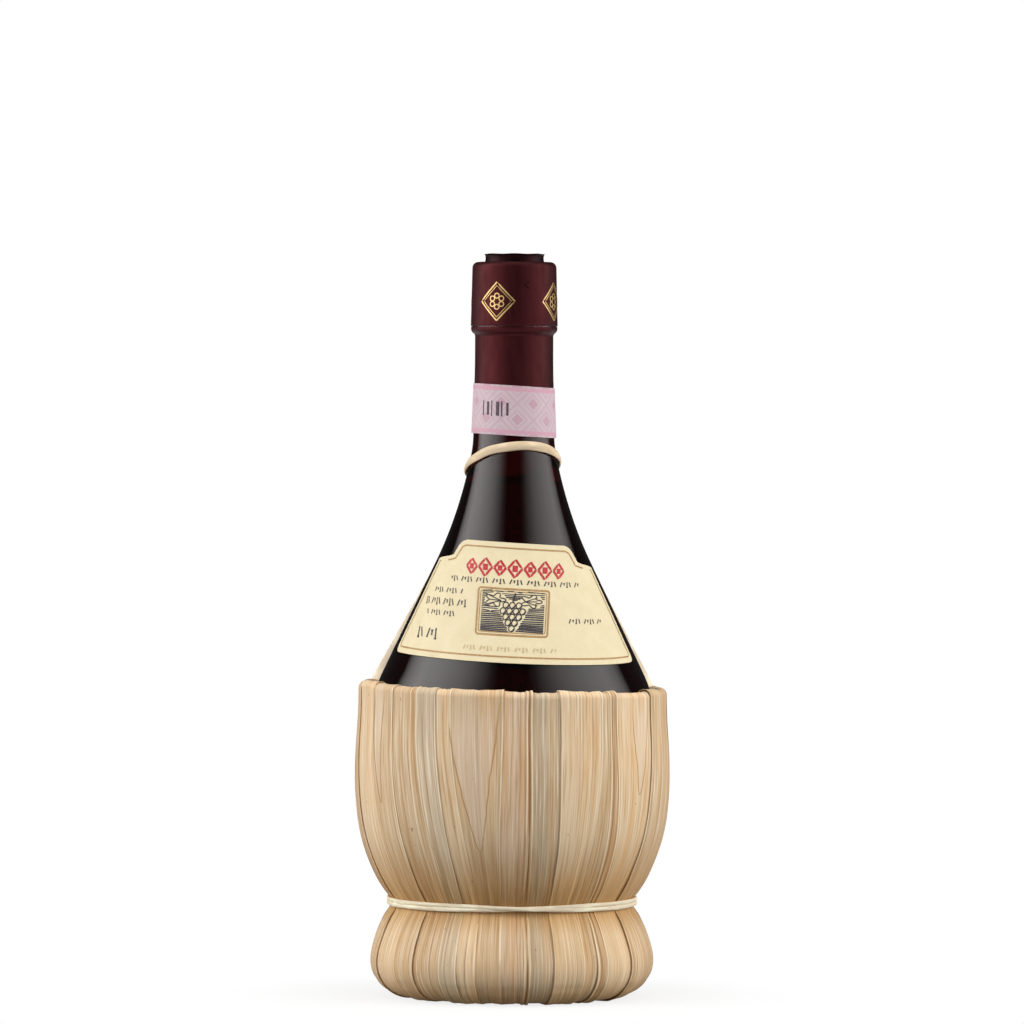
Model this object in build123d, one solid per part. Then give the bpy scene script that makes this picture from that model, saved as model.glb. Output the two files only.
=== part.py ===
from build123d import *
import math
import os

os.makedirs("parts", exist_ok=True)

# A round-bottomed wine flask in a straw basket.
# Millimetres, +Z up, origin on the floor under the middle of the base, label towards -Y.

# Glass flask: each run is measured down from the mouth
belly_radius = 52.5
bottom_height = 10.5
bottom_depth = 68.5
neck_radius = 13.15
neck_run = 30.85
mouth_height = 252.85
mouth_edge = 0.7
wall = 2.1
bottom_wall = 2.8
neck_wall = 3.9
lip_run = 25.25
lip_side_run = 22.45
lip_reach = 1.4
lip_taper = 0.5
lip_round = 1.6

# Shoulder: share of the height from belly to neck, share of the reach from neck to belly, lean in degrees
shoulder_shares = (
    (0.234, 0.802, 25.6),
    (0.4965, 0.3435, 25.6),
    (0.748, 0.043, 11.3),
    (0.797, 0.0213, 1.7),
)

# Angles at which the round bottom is divided into arcs
bowl_turns = (0.0, 30.0, 60.0, 90.0)

# Wine
fill_drop = 76.25
film_gap = 0.15

# Cork
cork_length = 42.0
cork_seat = 0.2
cork_clearance = 0.05
cork_edge = 0.5
bore_run = 4.0

# Shrink capsule: cap above the cut, skirt below it, raised disc on top
film = 0.4
film_clearance = 0.05
cut_drop = 21.85
cut_gap = 0.2
skirt_film = 0.3
skirt_drop = 57.85
disc_inset = 3.65
disc_draw = 0.8
disc_height = 2.8
disc_dish = 0.5
disc_lip = 0.4

# Paper
paper = 0.25
paper_gap = 0.1
band_drop = 50.75
band_width = 17.2
band_roll = 3.5
label_low_share = 0.2755
label_shoulder_share = 0.5056
label_top_share = 0.5441
label_half_angle = 73.5
label_tab_half_angle = 54.0
label_roll = 4.0

# Raffia loop round the neck, hitches and stays
loop_drop = 69.55
loop_width = 3.1
loop_thickness = 1.1
loop_gap = 0.25
loop_pitch = -21.0
loop_roll = -3.4
stay_radius = 1.2
stay_foot_angle = 17.0
stay_head_angle = 47.0
stay_head_drop = 2.2
stay_glass_gap = 0.35
stay_seat_gap = 0.15
hitch_radius = 3.3
hitch_clearance = 0.1

# Basket: two layers of leaves round the flask
leaf = 0.36
leaf_gap = 0.1
leaf_clearance = 0.1
rim_rise = 28.0
rim_room = 1.18
rim_cord_radius = 1.5
rim_tail = 1.4
belly_room = 1.7
waist_share = 0.4101
waist_run = 6.0
waist_room = 3.8
foot_flare = 6.7
tread_share = 0.6327
hub_radius = 7.0
hub_height = 2.6
hub_edge = 0.6
hub_crown = 1.6
leaf_pairs = 20
leaf_side_gap = 0.26
outer_width_shares = (0.83, 0.70, 0.90, 0.77, 0.64)

# Side of the basket: share of the height from waist to rim, share of the reach from waist to belly, lean
side_shares = (
    (0.04, 0.19, -40.0),
    (0.205, 0.66, -21.0),
    (0.58, 1.0, 0.0),
)

# Flare of the basket: share of the height from foot to waist, share of the reach from waist to foot, lean
flare_shares = (
    (0.80, 0.31, 46.0),
)

# Waist twine and foot ring
twine_radius = 0.8
twine_gap = 0.3
twine_pitch = 2.1
knot_width = 5.4
knot_height = 7.6
knot_depth = 3.4
knot_round = 1.0
knot_clearance = 0.15
seat_gap = 0.3

# One overrun for every cut and tool
overrun = 5.0

full_turn = 360.0
quarter_turn = 90.0
back_angle = 90.0
front_angle = -90.0

# Heights and radii that follow from the sizes
belly_height = bottom_height + bottom_depth
neck_start_height = mouth_height - neck_run
shoulder_run = neck_start_height - belly_height
lip_foot_height = mouth_height - lip_run
lip_side_height = mouth_height - lip_side_run
lip_radius = neck_radius + lip_reach
lip_top_radius = lip_radius - lip_taper
bore_radius = neck_radius - neck_wall
fill_height = mouth_height - fill_drop
cut_height = mouth_height - cut_drop
skirt_low_height = mouth_height - skirt_drop
disc_radius = lip_top_radius - disc_inset
disc_waist_radius = disc_radius - disc_draw
band_middle_height = mouth_height - band_drop
label_low_height = belly_height + label_low_share * shoulder_run
label_shoulder_height = belly_height + label_shoulder_share * shoulder_run
label_top_height = belly_height + label_top_share * shoulder_run
loop_height = mouth_height - loop_drop
rim_height = belly_height + rim_rise
waist_height = waist_share * belly_height
basket_belly_radius = belly_radius + belly_room

# Layers of the basket, measured in from its outer face
outer_layer = (0.0, leaf)
inner_layer = (leaf + leaf_gap, 2 * leaf + leaf_gap)
layers_depth = 2 * leaf + leaf_gap
fold_radius = rim_cord_radius + leaf_clearance + layers_depth


def heading(lean):
    """Upward direction that leans towards the axis by an angle in degrees."""
    turn = math.radians(lean)
    return Vector(-math.sin(turn), math.cos(turn))


outward = Vector(1, 0)
inward = Vector(-1, 0)
upward = Vector(0, 1)
downward = Vector(0, -1)


def is_straight(start, end, tangent):
    """Whether a run from one point to the other follows the tangent."""
    chord = (end - start).normalized()
    return abs(chord.cross(tangent).Z) < 1e-5


def with_joints(nodes):
    """Node list in which each two neighbours are joined by one line or by two tangent arcs."""
    full = [nodes[0]]
    for (start, first), (end, last) in zip(nodes, nodes[1:]):
        chord = end - start
        both = first + last
        spread = 2 * (1 - first.dot(last))
        if not (is_straight(start, end, first) and is_straight(start, end, last)):
            if spread < 1e-9:
                arm = chord.dot(chord) / (4 * chord.dot(last))
            else:
                lean = chord.dot(both)
                arm = (math.sqrt(lean * lean + spread * chord.dot(chord)) - lean) / spread
            joint = (start + first * arm + end - last * arm) / 2
            full.append((joint, (end - last * arm - start - first * arm).normalized()))
        full.append((end, last))
    return full


def chain(nodes, depth=0.0):
    """Lines and arcs through the nodes, all moved to the left of their run by a depth."""
    moved = [(point + Vector(-run.Y, run.X) * depth, run) for point, run in nodes]
    edges = []
    for (start, run), (end, _) in zip(moved, moved[1:]):
        if is_straight(start, end, run):
            edges.append(Line(start, end))
        else:
            edges.append(TangentArc(start, end, tangent=run))
    return edges


def closed_band(nodes, near, far):
    """Closed outline between the chain at two depths."""
    one = chain(nodes, near)
    two = chain(nodes, far)
    return [*one, *two, Line(one[0] @ 0, two[0] @ 0), Line(one[-1] @ 1, two[-1] @ 1)]


def spin(edges, angle=full_turn, start=0.0):
    """Turned solid of a closed outline in radius and height, from the start angle."""
    face = Plane.XZ * make_face(edges)
    return Rot(0, 0, start) * revolve(face, Axis.Z, angle)


def polar(radius, angle, height=0.0):
    """Point at a radius, an angle in degrees and a height."""
    turn = math.radians(angle)
    return Vector(radius * math.cos(turn), radius * math.sin(turn), height)


# Glass, its outside and its inside as nodes from the lowest point up


def bowl_nodes(radius, depth):
    """Nodes of the round bottom up to the belly."""
    nodes = []
    for angle in bowl_turns:
        turn = math.radians(angle)
        point = Vector(radius * math.sin(turn), belly_height - depth * math.cos(turn))
        run = Vector(radius * math.cos(turn), depth * math.sin(turn)).normalized()
        nodes.append((point, run))
    return nodes


def shoulder_nodes(top_radius, side_radius, height_limit):
    """Nodes of the shoulder above the belly, scaled between two radii, up to a height."""
    nodes = []
    reach = side_radius - top_radius
    for height_share, reach_share, lean in shoulder_shares:
        height = belly_height + height_share * shoulder_run
        slope = math.tan(math.radians(lean)) * reach / (belly_radius - neck_radius)
        if height < height_limit:
            point = Vector(top_radius + reach_share * reach, height)
            nodes.append((point, Vector(-slope, 1).normalized()))
    return nodes


lip_top_height = mouth_height - lip_round
lip_lean = math.degrees(
    math.atan((lip_radius - lip_top_radius) / (lip_top_height - lip_side_height))
)
outside_nodes = with_joints(
    [
        *bowl_nodes(belly_radius, bottom_depth),
        *shoulder_nodes(neck_radius, belly_radius, neck_start_height),
        (Vector(neck_radius, neck_start_height), upward),
        (Vector(neck_radius, lip_foot_height), upward),
        (Vector(lip_radius, lip_side_height), heading(lip_lean)),
        (Vector(lip_top_radius, lip_top_height), heading(lip_lean)),
        (Vector(lip_top_radius - lip_round, mouth_height), inward),
    ]
)
outside_wire = Wire(chain(outside_nodes))


def glass_node(height):
    """Node on the outside of the glass at a height."""
    low = 0.0
    high = 1.0
    while high - low > 1e-9:
        middle = (low + high) / 2
        if (outside_wire @ middle).Y < height:
            low = middle
        else:
            high = middle
    return outside_wire @ low, outside_wire % low


def glass_radius(height):
    """Outer radius of the glass at a height."""
    return glass_node(height)[0].X


rim_radius = glass_radius(rim_height) + rim_room + fold_radius
basket_rim_radius = rim_radius + fold_radius
waist_radius = glass_radius(waist_height) + waist_room
basket_foot_radius = waist_radius + foot_flare
tread_inner_radius = tread_share * basket_foot_radius


def glass_nodes(low_height, high_height):
    """Nodes on the outside of the glass between two heights."""
    between = [node for node in outside_nodes if low_height < node[0].Y < high_height]
    return [glass_node(low_height), *between, glass_node(high_height)]


def glass_shell(low_height, high_height, near, far):
    """Sleeve that lies on the glass, between two distances from it."""
    return spin(closed_band(glass_nodes(low_height, high_height), -near, -far))


def glass_core(low_height, high_height, margin):
    """Solid of the glass's outer shape between two heights, grown by a margin."""
    edges = chain(glass_nodes(low_height, high_height), -margin)
    low = edges[0] @ 0
    high = edges[-1] @ 1
    floor = Line((0, low.Y), low)
    roof = Line(high, (0, high.Y))
    return spin([*edges, roof, Line((0, high.Y), (0, low.Y)), floor])


# Flask, wine and cork

cork_top_height = mouth_height - cork_seat
cork_low_height = cork_top_height - cork_length
bore_low_height = cork_low_height - bore_run
inside_nodes = with_joints(
    [
        *bowl_nodes(belly_radius - wall, bottom_depth - bottom_wall),
        *shoulder_nodes(bore_radius, belly_radius - wall, bore_low_height - bore_run),
        (Vector(bore_radius, bore_low_height), upward),
    ]
)


def make_flask():
    """Glass flask: round bottom, shoulder, neck with lip, hollow to the bore."""
    mouth_inner = lip_top_radius - lip_round
    outline = [
        *chain(outside_nodes),
        Line((mouth_inner, mouth_height), (bore_radius + mouth_edge, mouth_height)),
        Line((bore_radius + mouth_edge, mouth_height), (bore_radius, mouth_height - mouth_edge)),
        Line((bore_radius, mouth_height - mouth_edge), (bore_radius, bore_low_height)),
        *chain(inside_nodes),
        Line((0, bottom_height), (0, bottom_height + bottom_wall)),
    ]
    return spin(outline)


def make_wine():
    """Fill of the flask up to its level, a film away from the glass."""
    edges = chain(inside_nodes, film_gap)
    floor = edges[0] @ 0
    top = edges[-1] @ 1
    whole = spin([*edges, Line(top, (0, top.Y)), Line((0, top.Y), floor)])
    return split(whole, Plane.XY.offset(fill_height), keep=Keep.BOTTOM)


def make_cork():
    """Straight cork in the bore, its top just below the mouth."""
    radius = bore_radius - cork_clearance
    cork = Pos(0, 0, cork_low_height) * extrude(Circle(radius), cork_length)
    return chamfer(cork.edges().filter_by(GeomType.CIRCLE), cork_edge)


# Capsule


def make_capsule_cap():
    """Upper capsule over the lip, closed on top, cut off at the lip's side."""
    nodes = glass_nodes(cut_height + cut_gap, mouth_height)
    nodes[-1] = outside_nodes[-1]
    nodes.append((Vector(0, mouth_height), inward))
    return spin(closed_band(nodes, -film_clearance, -film_clearance - film))


cap_top_height = mouth_height + film_clearance + film


def make_top_disc():
    """Raised disc on the cap: drawn-in neck, flared rim, dished top."""
    top = cap_top_height + disc_height
    rim_inner = disc_radius - 2 * disc_lip
    base_radius = (disc_radius + disc_waist_radius) / 2
    waist_at = cap_top_height + disc_height / 3
    outline = [
        Line((0, cap_top_height), (base_radius, cap_top_height)),
        ThreePointArc(
            (base_radius, cap_top_height),
            (disc_waist_radius, waist_at),
            (disc_radius, top - disc_lip),
        ),
        Line((disc_radius, top - disc_lip), (disc_radius - disc_lip, top)),
        Line((disc_radius - disc_lip, top), (rim_inner, top)),
        Line((rim_inner, top), (rim_inner - disc_lip, top - disc_dish)),
        Line((rim_inner - disc_lip, top - disc_dish), (0, top - disc_dish)),
        Line((0, top - disc_dish), (0, cap_top_height)),
    ]
    return spin(outline)


def make_capsule_skirt():
    """Lower capsule, a thin sleeve shrunk on the neck up to the cut."""
    return glass_shell(
        skirt_low_height,
        cut_height,
        film_clearance,
        film_clearance + skirt_film,
    )


# Paper


def tilted_slab(height, width, pitch, roll):
    """Wide flat slab across the axis, tilted about X and Y."""
    size = 4 * belly_radius
    return Pos(0, 0, height) * Rot(pitch, roll, 0) * Box(size, size, width)


def make_seal_band():
    """Paper band round the neck, over the skirt, a little askew."""
    near = film_clearance + skirt_film + paper_gap
    half = band_width / 2 + overrun
    sleeve = glass_shell(band_middle_height - half, band_middle_height + half, near, near + paper)
    return sleeve & tilted_slab(band_middle_height, band_width, 0, band_roll)


def label_wedge(half_angle, low_height, high_height):
    """Wedge about the axis, open to the front, between two heights."""
    reach = 2 * belly_radius
    left = polar(reach, front_angle - half_angle)
    right = polar(reach, front_angle + half_angle)
    front = polar(reach, front_angle)
    outline = [
        Line((0, 0), (left.X, left.Y)),
        ThreePointArc((left.X, left.Y), (front.X, front.Y), (right.X, right.Y)),
        Line((right.X, right.Y), (0, 0)),
    ]
    return Pos(0, 0, low_height) * extrude(make_face(outline), high_height - low_height)


def make_front_label():
    """Paper label on the shoulder: wide lower part, narrower tab on top, slightly rolled."""
    sleeve = glass_shell(
        label_low_height - overrun,
        label_top_height + overrun,
        paper_gap,
        paper_gap + paper,
    )
    wide = label_wedge(label_half_angle, label_low_height, label_shoulder_height)
    tab = label_wedge(label_tab_half_angle, label_low_height, label_top_height)
    middle = (label_low_height + label_top_height) / 2
    tool = Pos(0, 0, middle) * Rot(0, label_roll, 0) * Pos(0, 0, -middle) * (wide + tab)
    return sleeve & tool


# Neck loop, stays and hitches


def loop_band(grow):
    """Tilted flat band round the neck, grown all round by a margin."""
    half = loop_width / 2 + grow
    climb = neck_radius * math.tan(math.radians(abs(loop_pitch) + abs(loop_roll)))
    spread = climb + half + overrun
    near = loop_gap - grow
    far = loop_gap + loop_thickness + grow
    sleeve = glass_shell(loop_height - spread, loop_height + spread, near, far)
    return sleeve & tilted_slab(loop_height, 2 * half, loop_pitch, loop_roll)


def loop_height_at(point):
    """Height of the loop's middle plane at a point beside the neck."""
    plane = Plane(Location((0, 0, loop_height), (loop_pitch, loop_roll, 0)))
    normal = plane.z_dir
    return loop_height - (normal.X * point.X + normal.Y * point.Y) / normal.Z


def stay_ends(side):
    """Foot on the rim and head under the loop, on the left (-1) or right (1)."""
    foot_angle = back_angle - side * (back_angle - stay_foot_angle)
    head_angle = back_angle - side * (back_angle - stay_head_angle)
    foot = polar(rim_radius, foot_angle, rim_height + fold_radius)
    beside = polar(glass_radius(loop_height), head_angle)
    head_height = loop_height_at(beside) - stay_head_drop
    reach = glass_radius(head_height) + stay_glass_gap + stay_radius
    return foot, polar(reach, head_angle, head_height)


def hitch_ball(side, radius):
    """Ball about the loop's middle where a stay is hitched."""
    head_angle = back_angle - side * (back_angle - stay_head_angle)
    beside = polar(glass_radius(loop_height), head_angle)
    height = loop_height_at(beside)
    reach = glass_radius(height) + loop_gap + loop_thickness
    return Pos(polar(reach, head_angle, height)) * Sphere(radius)


def make_stay(side):
    """Taut cord from the rim to the hitch, its foot cut level just over the rim."""
    foot, head = stay_ends(side)
    run = (head - foot).normalized()
    start = foot - run * overrun
    rod = extrude(Plane(origin=start, z_dir=run) * Circle(stay_radius), (head - start).length)
    level = rim_height + fold_radius + stay_seat_gap
    rod = split(rod, Plane.XY.offset(level), keep=Keep.TOP)
    return rod - hitch_ball(side, hitch_radius + hitch_clearance)


def make_hitch(side):
    """Hitch that binds a stay's head to the loop, hollowed by the loop and the neck."""
    ball = hitch_ball(side, hitch_radius)
    box = ball.bounding_box()
    core = glass_core(box.min.Z - overrun, box.max.Z + overrun, hitch_clearance)
    return ball - core - loop_band(hitch_clearance)


# Basket


def bisected(low, high, fits):
    """Largest value between two limits that still fits."""
    while high - low > 1e-5:
        middle = (low + high) / 2
        if fits(middle):
            low = middle
        else:
            high = middle
    return low


def bowl_distance(radius, height):
    """Distance in section from a point to the round bottom of the glass."""
    steps = 400
    nearest = belly_radius
    for step in range(steps + 1):
        turn = math.radians(quarter_turn) * step / steps
        reach = belly_radius * math.sin(turn)
        level = belly_height - bottom_depth * math.cos(turn)
        nearest = min(nearest, math.hypot(radius - reach, height - level))
    return nearest


def ring_fits(radius):
    """Whether a foot ring of this section radius leaves the glass its seat gap."""
    skin = layers_depth + leaf_clearance
    centre_radius = basket_foot_radius - skin - radius
    return bowl_distance(centre_radius, skin + radius) - radius > seat_gap


ring_section_radius = bisected(rim_cord_radius, basket_foot_radius / 3, ring_fits)
foot_round = ring_section_radius + layers_depth + leaf_clearance
ring_radius = basket_foot_radius - foot_round


def basket_nodes():
    """Nodes of the basket's outer face from the hub under the base, up the side and over the rim."""
    waist_low = waist_height - waist_run / 2
    waist_high = waist_height + waist_run / 2
    nodes = [
        (Vector(hub_radius, hub_height), outward),
        (Vector(tread_inner_radius, 0), outward),
        (Vector(ring_radius, 0), outward),
        (Vector(basket_foot_radius, foot_round), upward),
    ]
    for height_share, reach_share, lean in flare_shares:
        radius = waist_radius + reach_share * (basket_foot_radius - waist_radius)
        height = foot_round + height_share * (waist_low - foot_round)
        nodes.append((Vector(radius, height), heading(lean)))
    nodes.append((Vector(waist_radius, waist_low), upward))
    nodes.append((Vector(waist_radius, waist_high), upward))
    for height_share, reach_share, lean in side_shares:
        radius = waist_radius + reach_share * (basket_belly_radius - waist_radius)
        height = waist_high + height_share * (rim_height - waist_high)
        nodes.append((Vector(radius, height), heading(lean)))
    nodes.append((Vector(basket_rim_radius, rim_height), upward))
    nodes.append((Vector(rim_radius - fold_radius, rim_height), downward))
    nodes.append((Vector(rim_radius - fold_radius, rim_height - rim_tail), downward))
    return with_joints(nodes)


skin_nodes = basket_nodes()

leaf_pitch = full_turn / leaf_pairs
side_gap_angle = math.degrees(leaf_side_gap / basket_belly_radius)


def make_outer_leaf(index):
    """Leaf of the outer layer; widths follow each other in a cycle."""
    share = outer_width_shares[index % len(outer_width_shares)]
    width = share * leaf_pitch
    middle = front_angle + index * leaf_pitch
    return spin(closed_band(skin_nodes, *outer_layer), width, middle - width / 2)


def make_inner_leaf(index):
    """Leaf of the inner layer, behind the gap between two outer leaves."""
    width = leaf_pitch - side_gap_angle
    middle = front_angle + (index + 1 / 2) * leaf_pitch
    return spin(closed_band(skin_nodes, *inner_layer), width, middle - width / 2)


def ring(radius, height, section_radius):
    """Round ring about the axis."""
    return Pos(0, 0, height) * Torus(radius, section_radius)


def make_base_button():
    """Disc that fills the middle of the underside, between the leaves' ends."""
    radius = hub_radius - leaf_clearance
    low = hub_height - hub_edge
    height = layers_depth + hub_edge + hub_crown
    return Pos(0, 0, low) * extrude(Circle(radius), height)


# Waist twine

twine_ring_radius = waist_radius + twine_gap + twine_radius
twine_run = 2 * twine_radius
knot_half = math.degrees((knot_width / 2 + knot_clearance + twine_run) / twine_ring_radius)


def twine_path():
    """Two turns round the waist, each end straight and square to the knot's side."""
    start_angle = back_angle + knot_half
    swept = 2 * full_turn - 2 * knot_half
    quarters = 8
    high = waist_height + twine_pitch
    points = []
    for step in range(quarters + 1):
        share = step / quarters
        drop = 2 * twine_pitch * share
        points.append(polar(twine_ring_radius, start_angle + swept * share, high - drop))
    run = polar(twine_run, start_angle + quarter_turn)
    edges = [Line(points[0] - run, points[0])]
    for near, far in zip(points, points[1:]):
        edges.append(TangentArc(near, far, tangent=edges[-1] % 1))
    edges.append(Line(points[-1], points[-1] + edges[-1] % 1 * twine_run))
    return edges


def twine_points(edges):
    """Evenly spread points on the twine's middle line, with their distance along it."""
    points = []
    travelled = 0.0
    for edge in edges:
        steps = 60
        for step in range(steps):
            points.append((travelled + edge.length * step / steps, edge @ (step / steps)))
        travelled += edge.length
    return points


def twine_self_gap(edges):
    """Least gap between turns of the twine, half a turn or more apart along it."""
    points = twine_points(edges)
    apart = math.pi * twine_ring_radius
    nearest = basket_belly_radius
    for index, (along, point) in enumerate(points):
        for further, other in points[index:]:
            if further - along > apart:
                nearest = min(nearest, (point - other).length)
    return nearest - 2 * twine_radius


def make_twine():
    """Unbroken tube along the two turns."""
    edges = twine_path()
    path = Wire(edges)
    print(f"waist twine: length {path.length:.1f}, least gap to itself {twine_self_gap(edges):.2f}")
    start = Plane(origin=edges[0] @ 0, z_dir=edges[0] % 0)
    return sweep(start * Circle(twine_radius), path=path)


def make_twine_knot():
    """Knot on the back of the waist, bridging the strand that passes under it."""
    near = -twine_radius
    far = knot_depth - twine_radius
    corners = []
    for side, reaches in ((1, (near, far)), (-1, (far, near))):
        angle = back_angle + side * knot_half
        centre = polar(twine_ring_radius, angle) - polar(twine_run, angle + side * quarter_turn)
        centre -= polar(knot_clearance, angle + side * quarter_turn)
        corners += [centre + polar(reach, angle) for reach in reaches]
    low = waist_height - knot_height / 2
    block = Pos(0, 0, low) * extrude(make_face(Polyline(*corners, close=True)), knot_height)
    block = fillet(block.edges().filter_by(Axis.Z).sort_by(Axis.Y)[-2:], knot_round)
    passage = ring(twine_ring_radius, waist_height, twine_radius + knot_clearance)
    band = Pos(0, 0, waist_height) * Cylinder(twine_ring_radius, 2 * (twine_radius + knot_clearance))
    return block - passage - band


def save(node, solid):
    """Writes one piece under its node's name."""
    solid.label = node
    export_step(solid, f"parts/{node}.step")


save("flask", make_flask())
save("wine", make_wine())
save("cork", make_cork())
save("capsule_cap", make_capsule_cap())
save("capsule_top_disc", make_top_disc())
save("capsule_skirt", make_capsule_skirt())
save("seal_band", make_seal_band())
save("front_label", make_front_label())
save("neck_loop", loop_band(0))
for name, side in (("left", -1), ("right", 1)):
    save(f"stay_{name}", make_stay(side))
    save(f"hitch_{name}", make_hitch(side))
for index in range(leaf_pairs):
    save(f"straw_outer_{index + 1:02d}", make_outer_leaf(index))
    save(f"straw_inner_{index + 1:02d}", make_inner_leaf(index))
save("rim_cord", ring(rim_radius, rim_height, rim_cord_radius))
save("foot_ring", ring(ring_radius, foot_round, ring_section_radius))
save("base_button", make_base_button())
save("waist_twine", make_twine())
save("twine_knot", make_twine_knot())
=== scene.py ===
import logging
import math
import random
from bisect import bisect_right
from dataclasses import dataclass, field, replace
from enum import Enum
from typing import Callable, Optional, Sequence, Union

import bpy
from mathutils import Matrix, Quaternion, Vector, noise


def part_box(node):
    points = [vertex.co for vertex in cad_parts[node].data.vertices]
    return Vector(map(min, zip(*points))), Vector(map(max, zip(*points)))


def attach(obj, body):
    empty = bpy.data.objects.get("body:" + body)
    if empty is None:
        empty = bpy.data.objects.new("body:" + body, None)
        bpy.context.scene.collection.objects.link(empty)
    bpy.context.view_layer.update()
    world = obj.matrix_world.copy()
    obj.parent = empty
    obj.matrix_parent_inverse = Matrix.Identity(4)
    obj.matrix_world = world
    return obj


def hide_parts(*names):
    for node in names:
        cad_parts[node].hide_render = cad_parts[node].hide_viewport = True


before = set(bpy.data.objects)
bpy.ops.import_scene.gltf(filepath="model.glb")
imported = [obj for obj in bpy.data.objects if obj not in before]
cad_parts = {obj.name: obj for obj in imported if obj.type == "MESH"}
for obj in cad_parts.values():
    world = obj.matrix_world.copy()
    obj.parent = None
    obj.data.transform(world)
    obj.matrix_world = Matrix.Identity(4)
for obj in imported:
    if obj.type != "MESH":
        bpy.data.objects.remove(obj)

log = logging.getLogger("fiasco")
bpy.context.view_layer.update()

MM = 0.001
MERGE_GAP = 0.004
TINY = 1e-9
ALIGNED = 1e-5
ROUNDING = 1e-6

Pair = tuple[float, float]
Colour = tuple[float, float, float]
Mark = tuple[float, float, float, float]
Place = Callable[[float, float], Vector]
Path = Callable[[float], Vector]
Piece = bpy.types.Object
Node = bpy.types.Node
Socket = bpy.types.NodeSocket
Feed = Union[Socket, float, Colour]


# Places and outlines.


def beside(radius: float, degrees: float, height: float) -> Vector:
    """Point in mm at a distance from the axis, turned from the front towards the right."""
    turn = math.radians(degrees)
    return Vector((radius * math.sin(turn), -radius * math.cos(turn), height))


def around(radius: float, degrees: float, height: float) -> Vector:
    """The same point in metres."""
    return beside(radius, degrees, height) * MM


def eased(value: float, low: float, high: float) -> float:
    """Smooth step from 0 at low to 1 at high."""
    share = min(max((value - low) / (high - low), 0.0), 1.0)
    return share * share * (3 - 2 * share)


def bump(value: float, middle: float, reach: float) -> float:
    """Soft hump of height 1 at the middle, gone beyond the reach."""
    share = (value - middle) / reach
    return math.exp(-share * share)


def wander(one: float, two: float, three: float) -> float:
    """Smooth random wander between -1 and 1."""
    return noise.noise(Vector((one, two, three)))


def flat_way(point: Vector) -> Vector:
    """Level direction from the axis to a point."""
    return Vector((point.x, point.y, 0)).normalized()


def spot(stations: Sequence[float], value: float) -> tuple[int, float]:
    """Finds the step between rising stations that a value lies in.

    Args:
        stations: the rising values.
        value: the value to place.

    Returns:
        Index of the station before it, and its share of the step.
    """
    low = min(max(bisect_right(stations, value) - 1, 0), len(stations) - 2)
    share = (value - stations[low]) / max(stations[low + 1] - stations[low], TINY)
    return low, min(max(share, 0.0), 1.0)


def straight(one: Pair, two: Pair, steps: int) -> list[Pair]:
    """Points of a straight run."""
    return [tuple(Vector(one).lerp(Vector(two), step / steps)) for step in range(steps + 1)]


def chain(corners: Sequence[Pair], steps: int) -> list[Pair]:
    """Points of straight runs from corner to corner.

    Args:
        corners: the corners in order.
        steps: steps of each run.

    Returns:
        The points.
    """
    points = [corners[0]]
    for one, two in zip(corners, corners[1:]):
        points += straight(one, two, steps)[1:]
    return points


def oval(middle: Pair, reach: Pair, steps: int, start: float = 0.0, sweep: float = 360.0) -> list[Pair]:
    """Points of an oval or a part of it.

    Args:
        middle: its middle.
        reach: half its width and half its height.
        steps: steps between its points.
        start: angle of the first point in degrees.
        sweep: angle from the first point to the last.

    Returns:
        The points.
    """
    turns = [math.radians(start + sweep * step / steps) for step in range(steps + 1)]
    return [(middle[0] + reach[0] * math.cos(turn), middle[1] + reach[1] * math.sin(turn)) for turn in turns]


def trefoil(share: float) -> Vector:
    """Point of a three-lobed knot.

    Args:
        share: share of the way round.

    Returns:
        How far across, up and out of the knot's plane.
    """
    turn = math.tau * share
    x = math.sin(turn) + 2 * math.sin(2 * turn)
    y = math.cos(turn) - 2 * math.cos(2 * turn)
    return Vector((x, y, -math.sin(3 * turn)))


@dataclass(frozen=True)
class Stop:
    """Stop of an outline: radius and height in mm, lean of the run towards the axis in degrees."""

    r: float
    z: float
    lean: float


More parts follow.
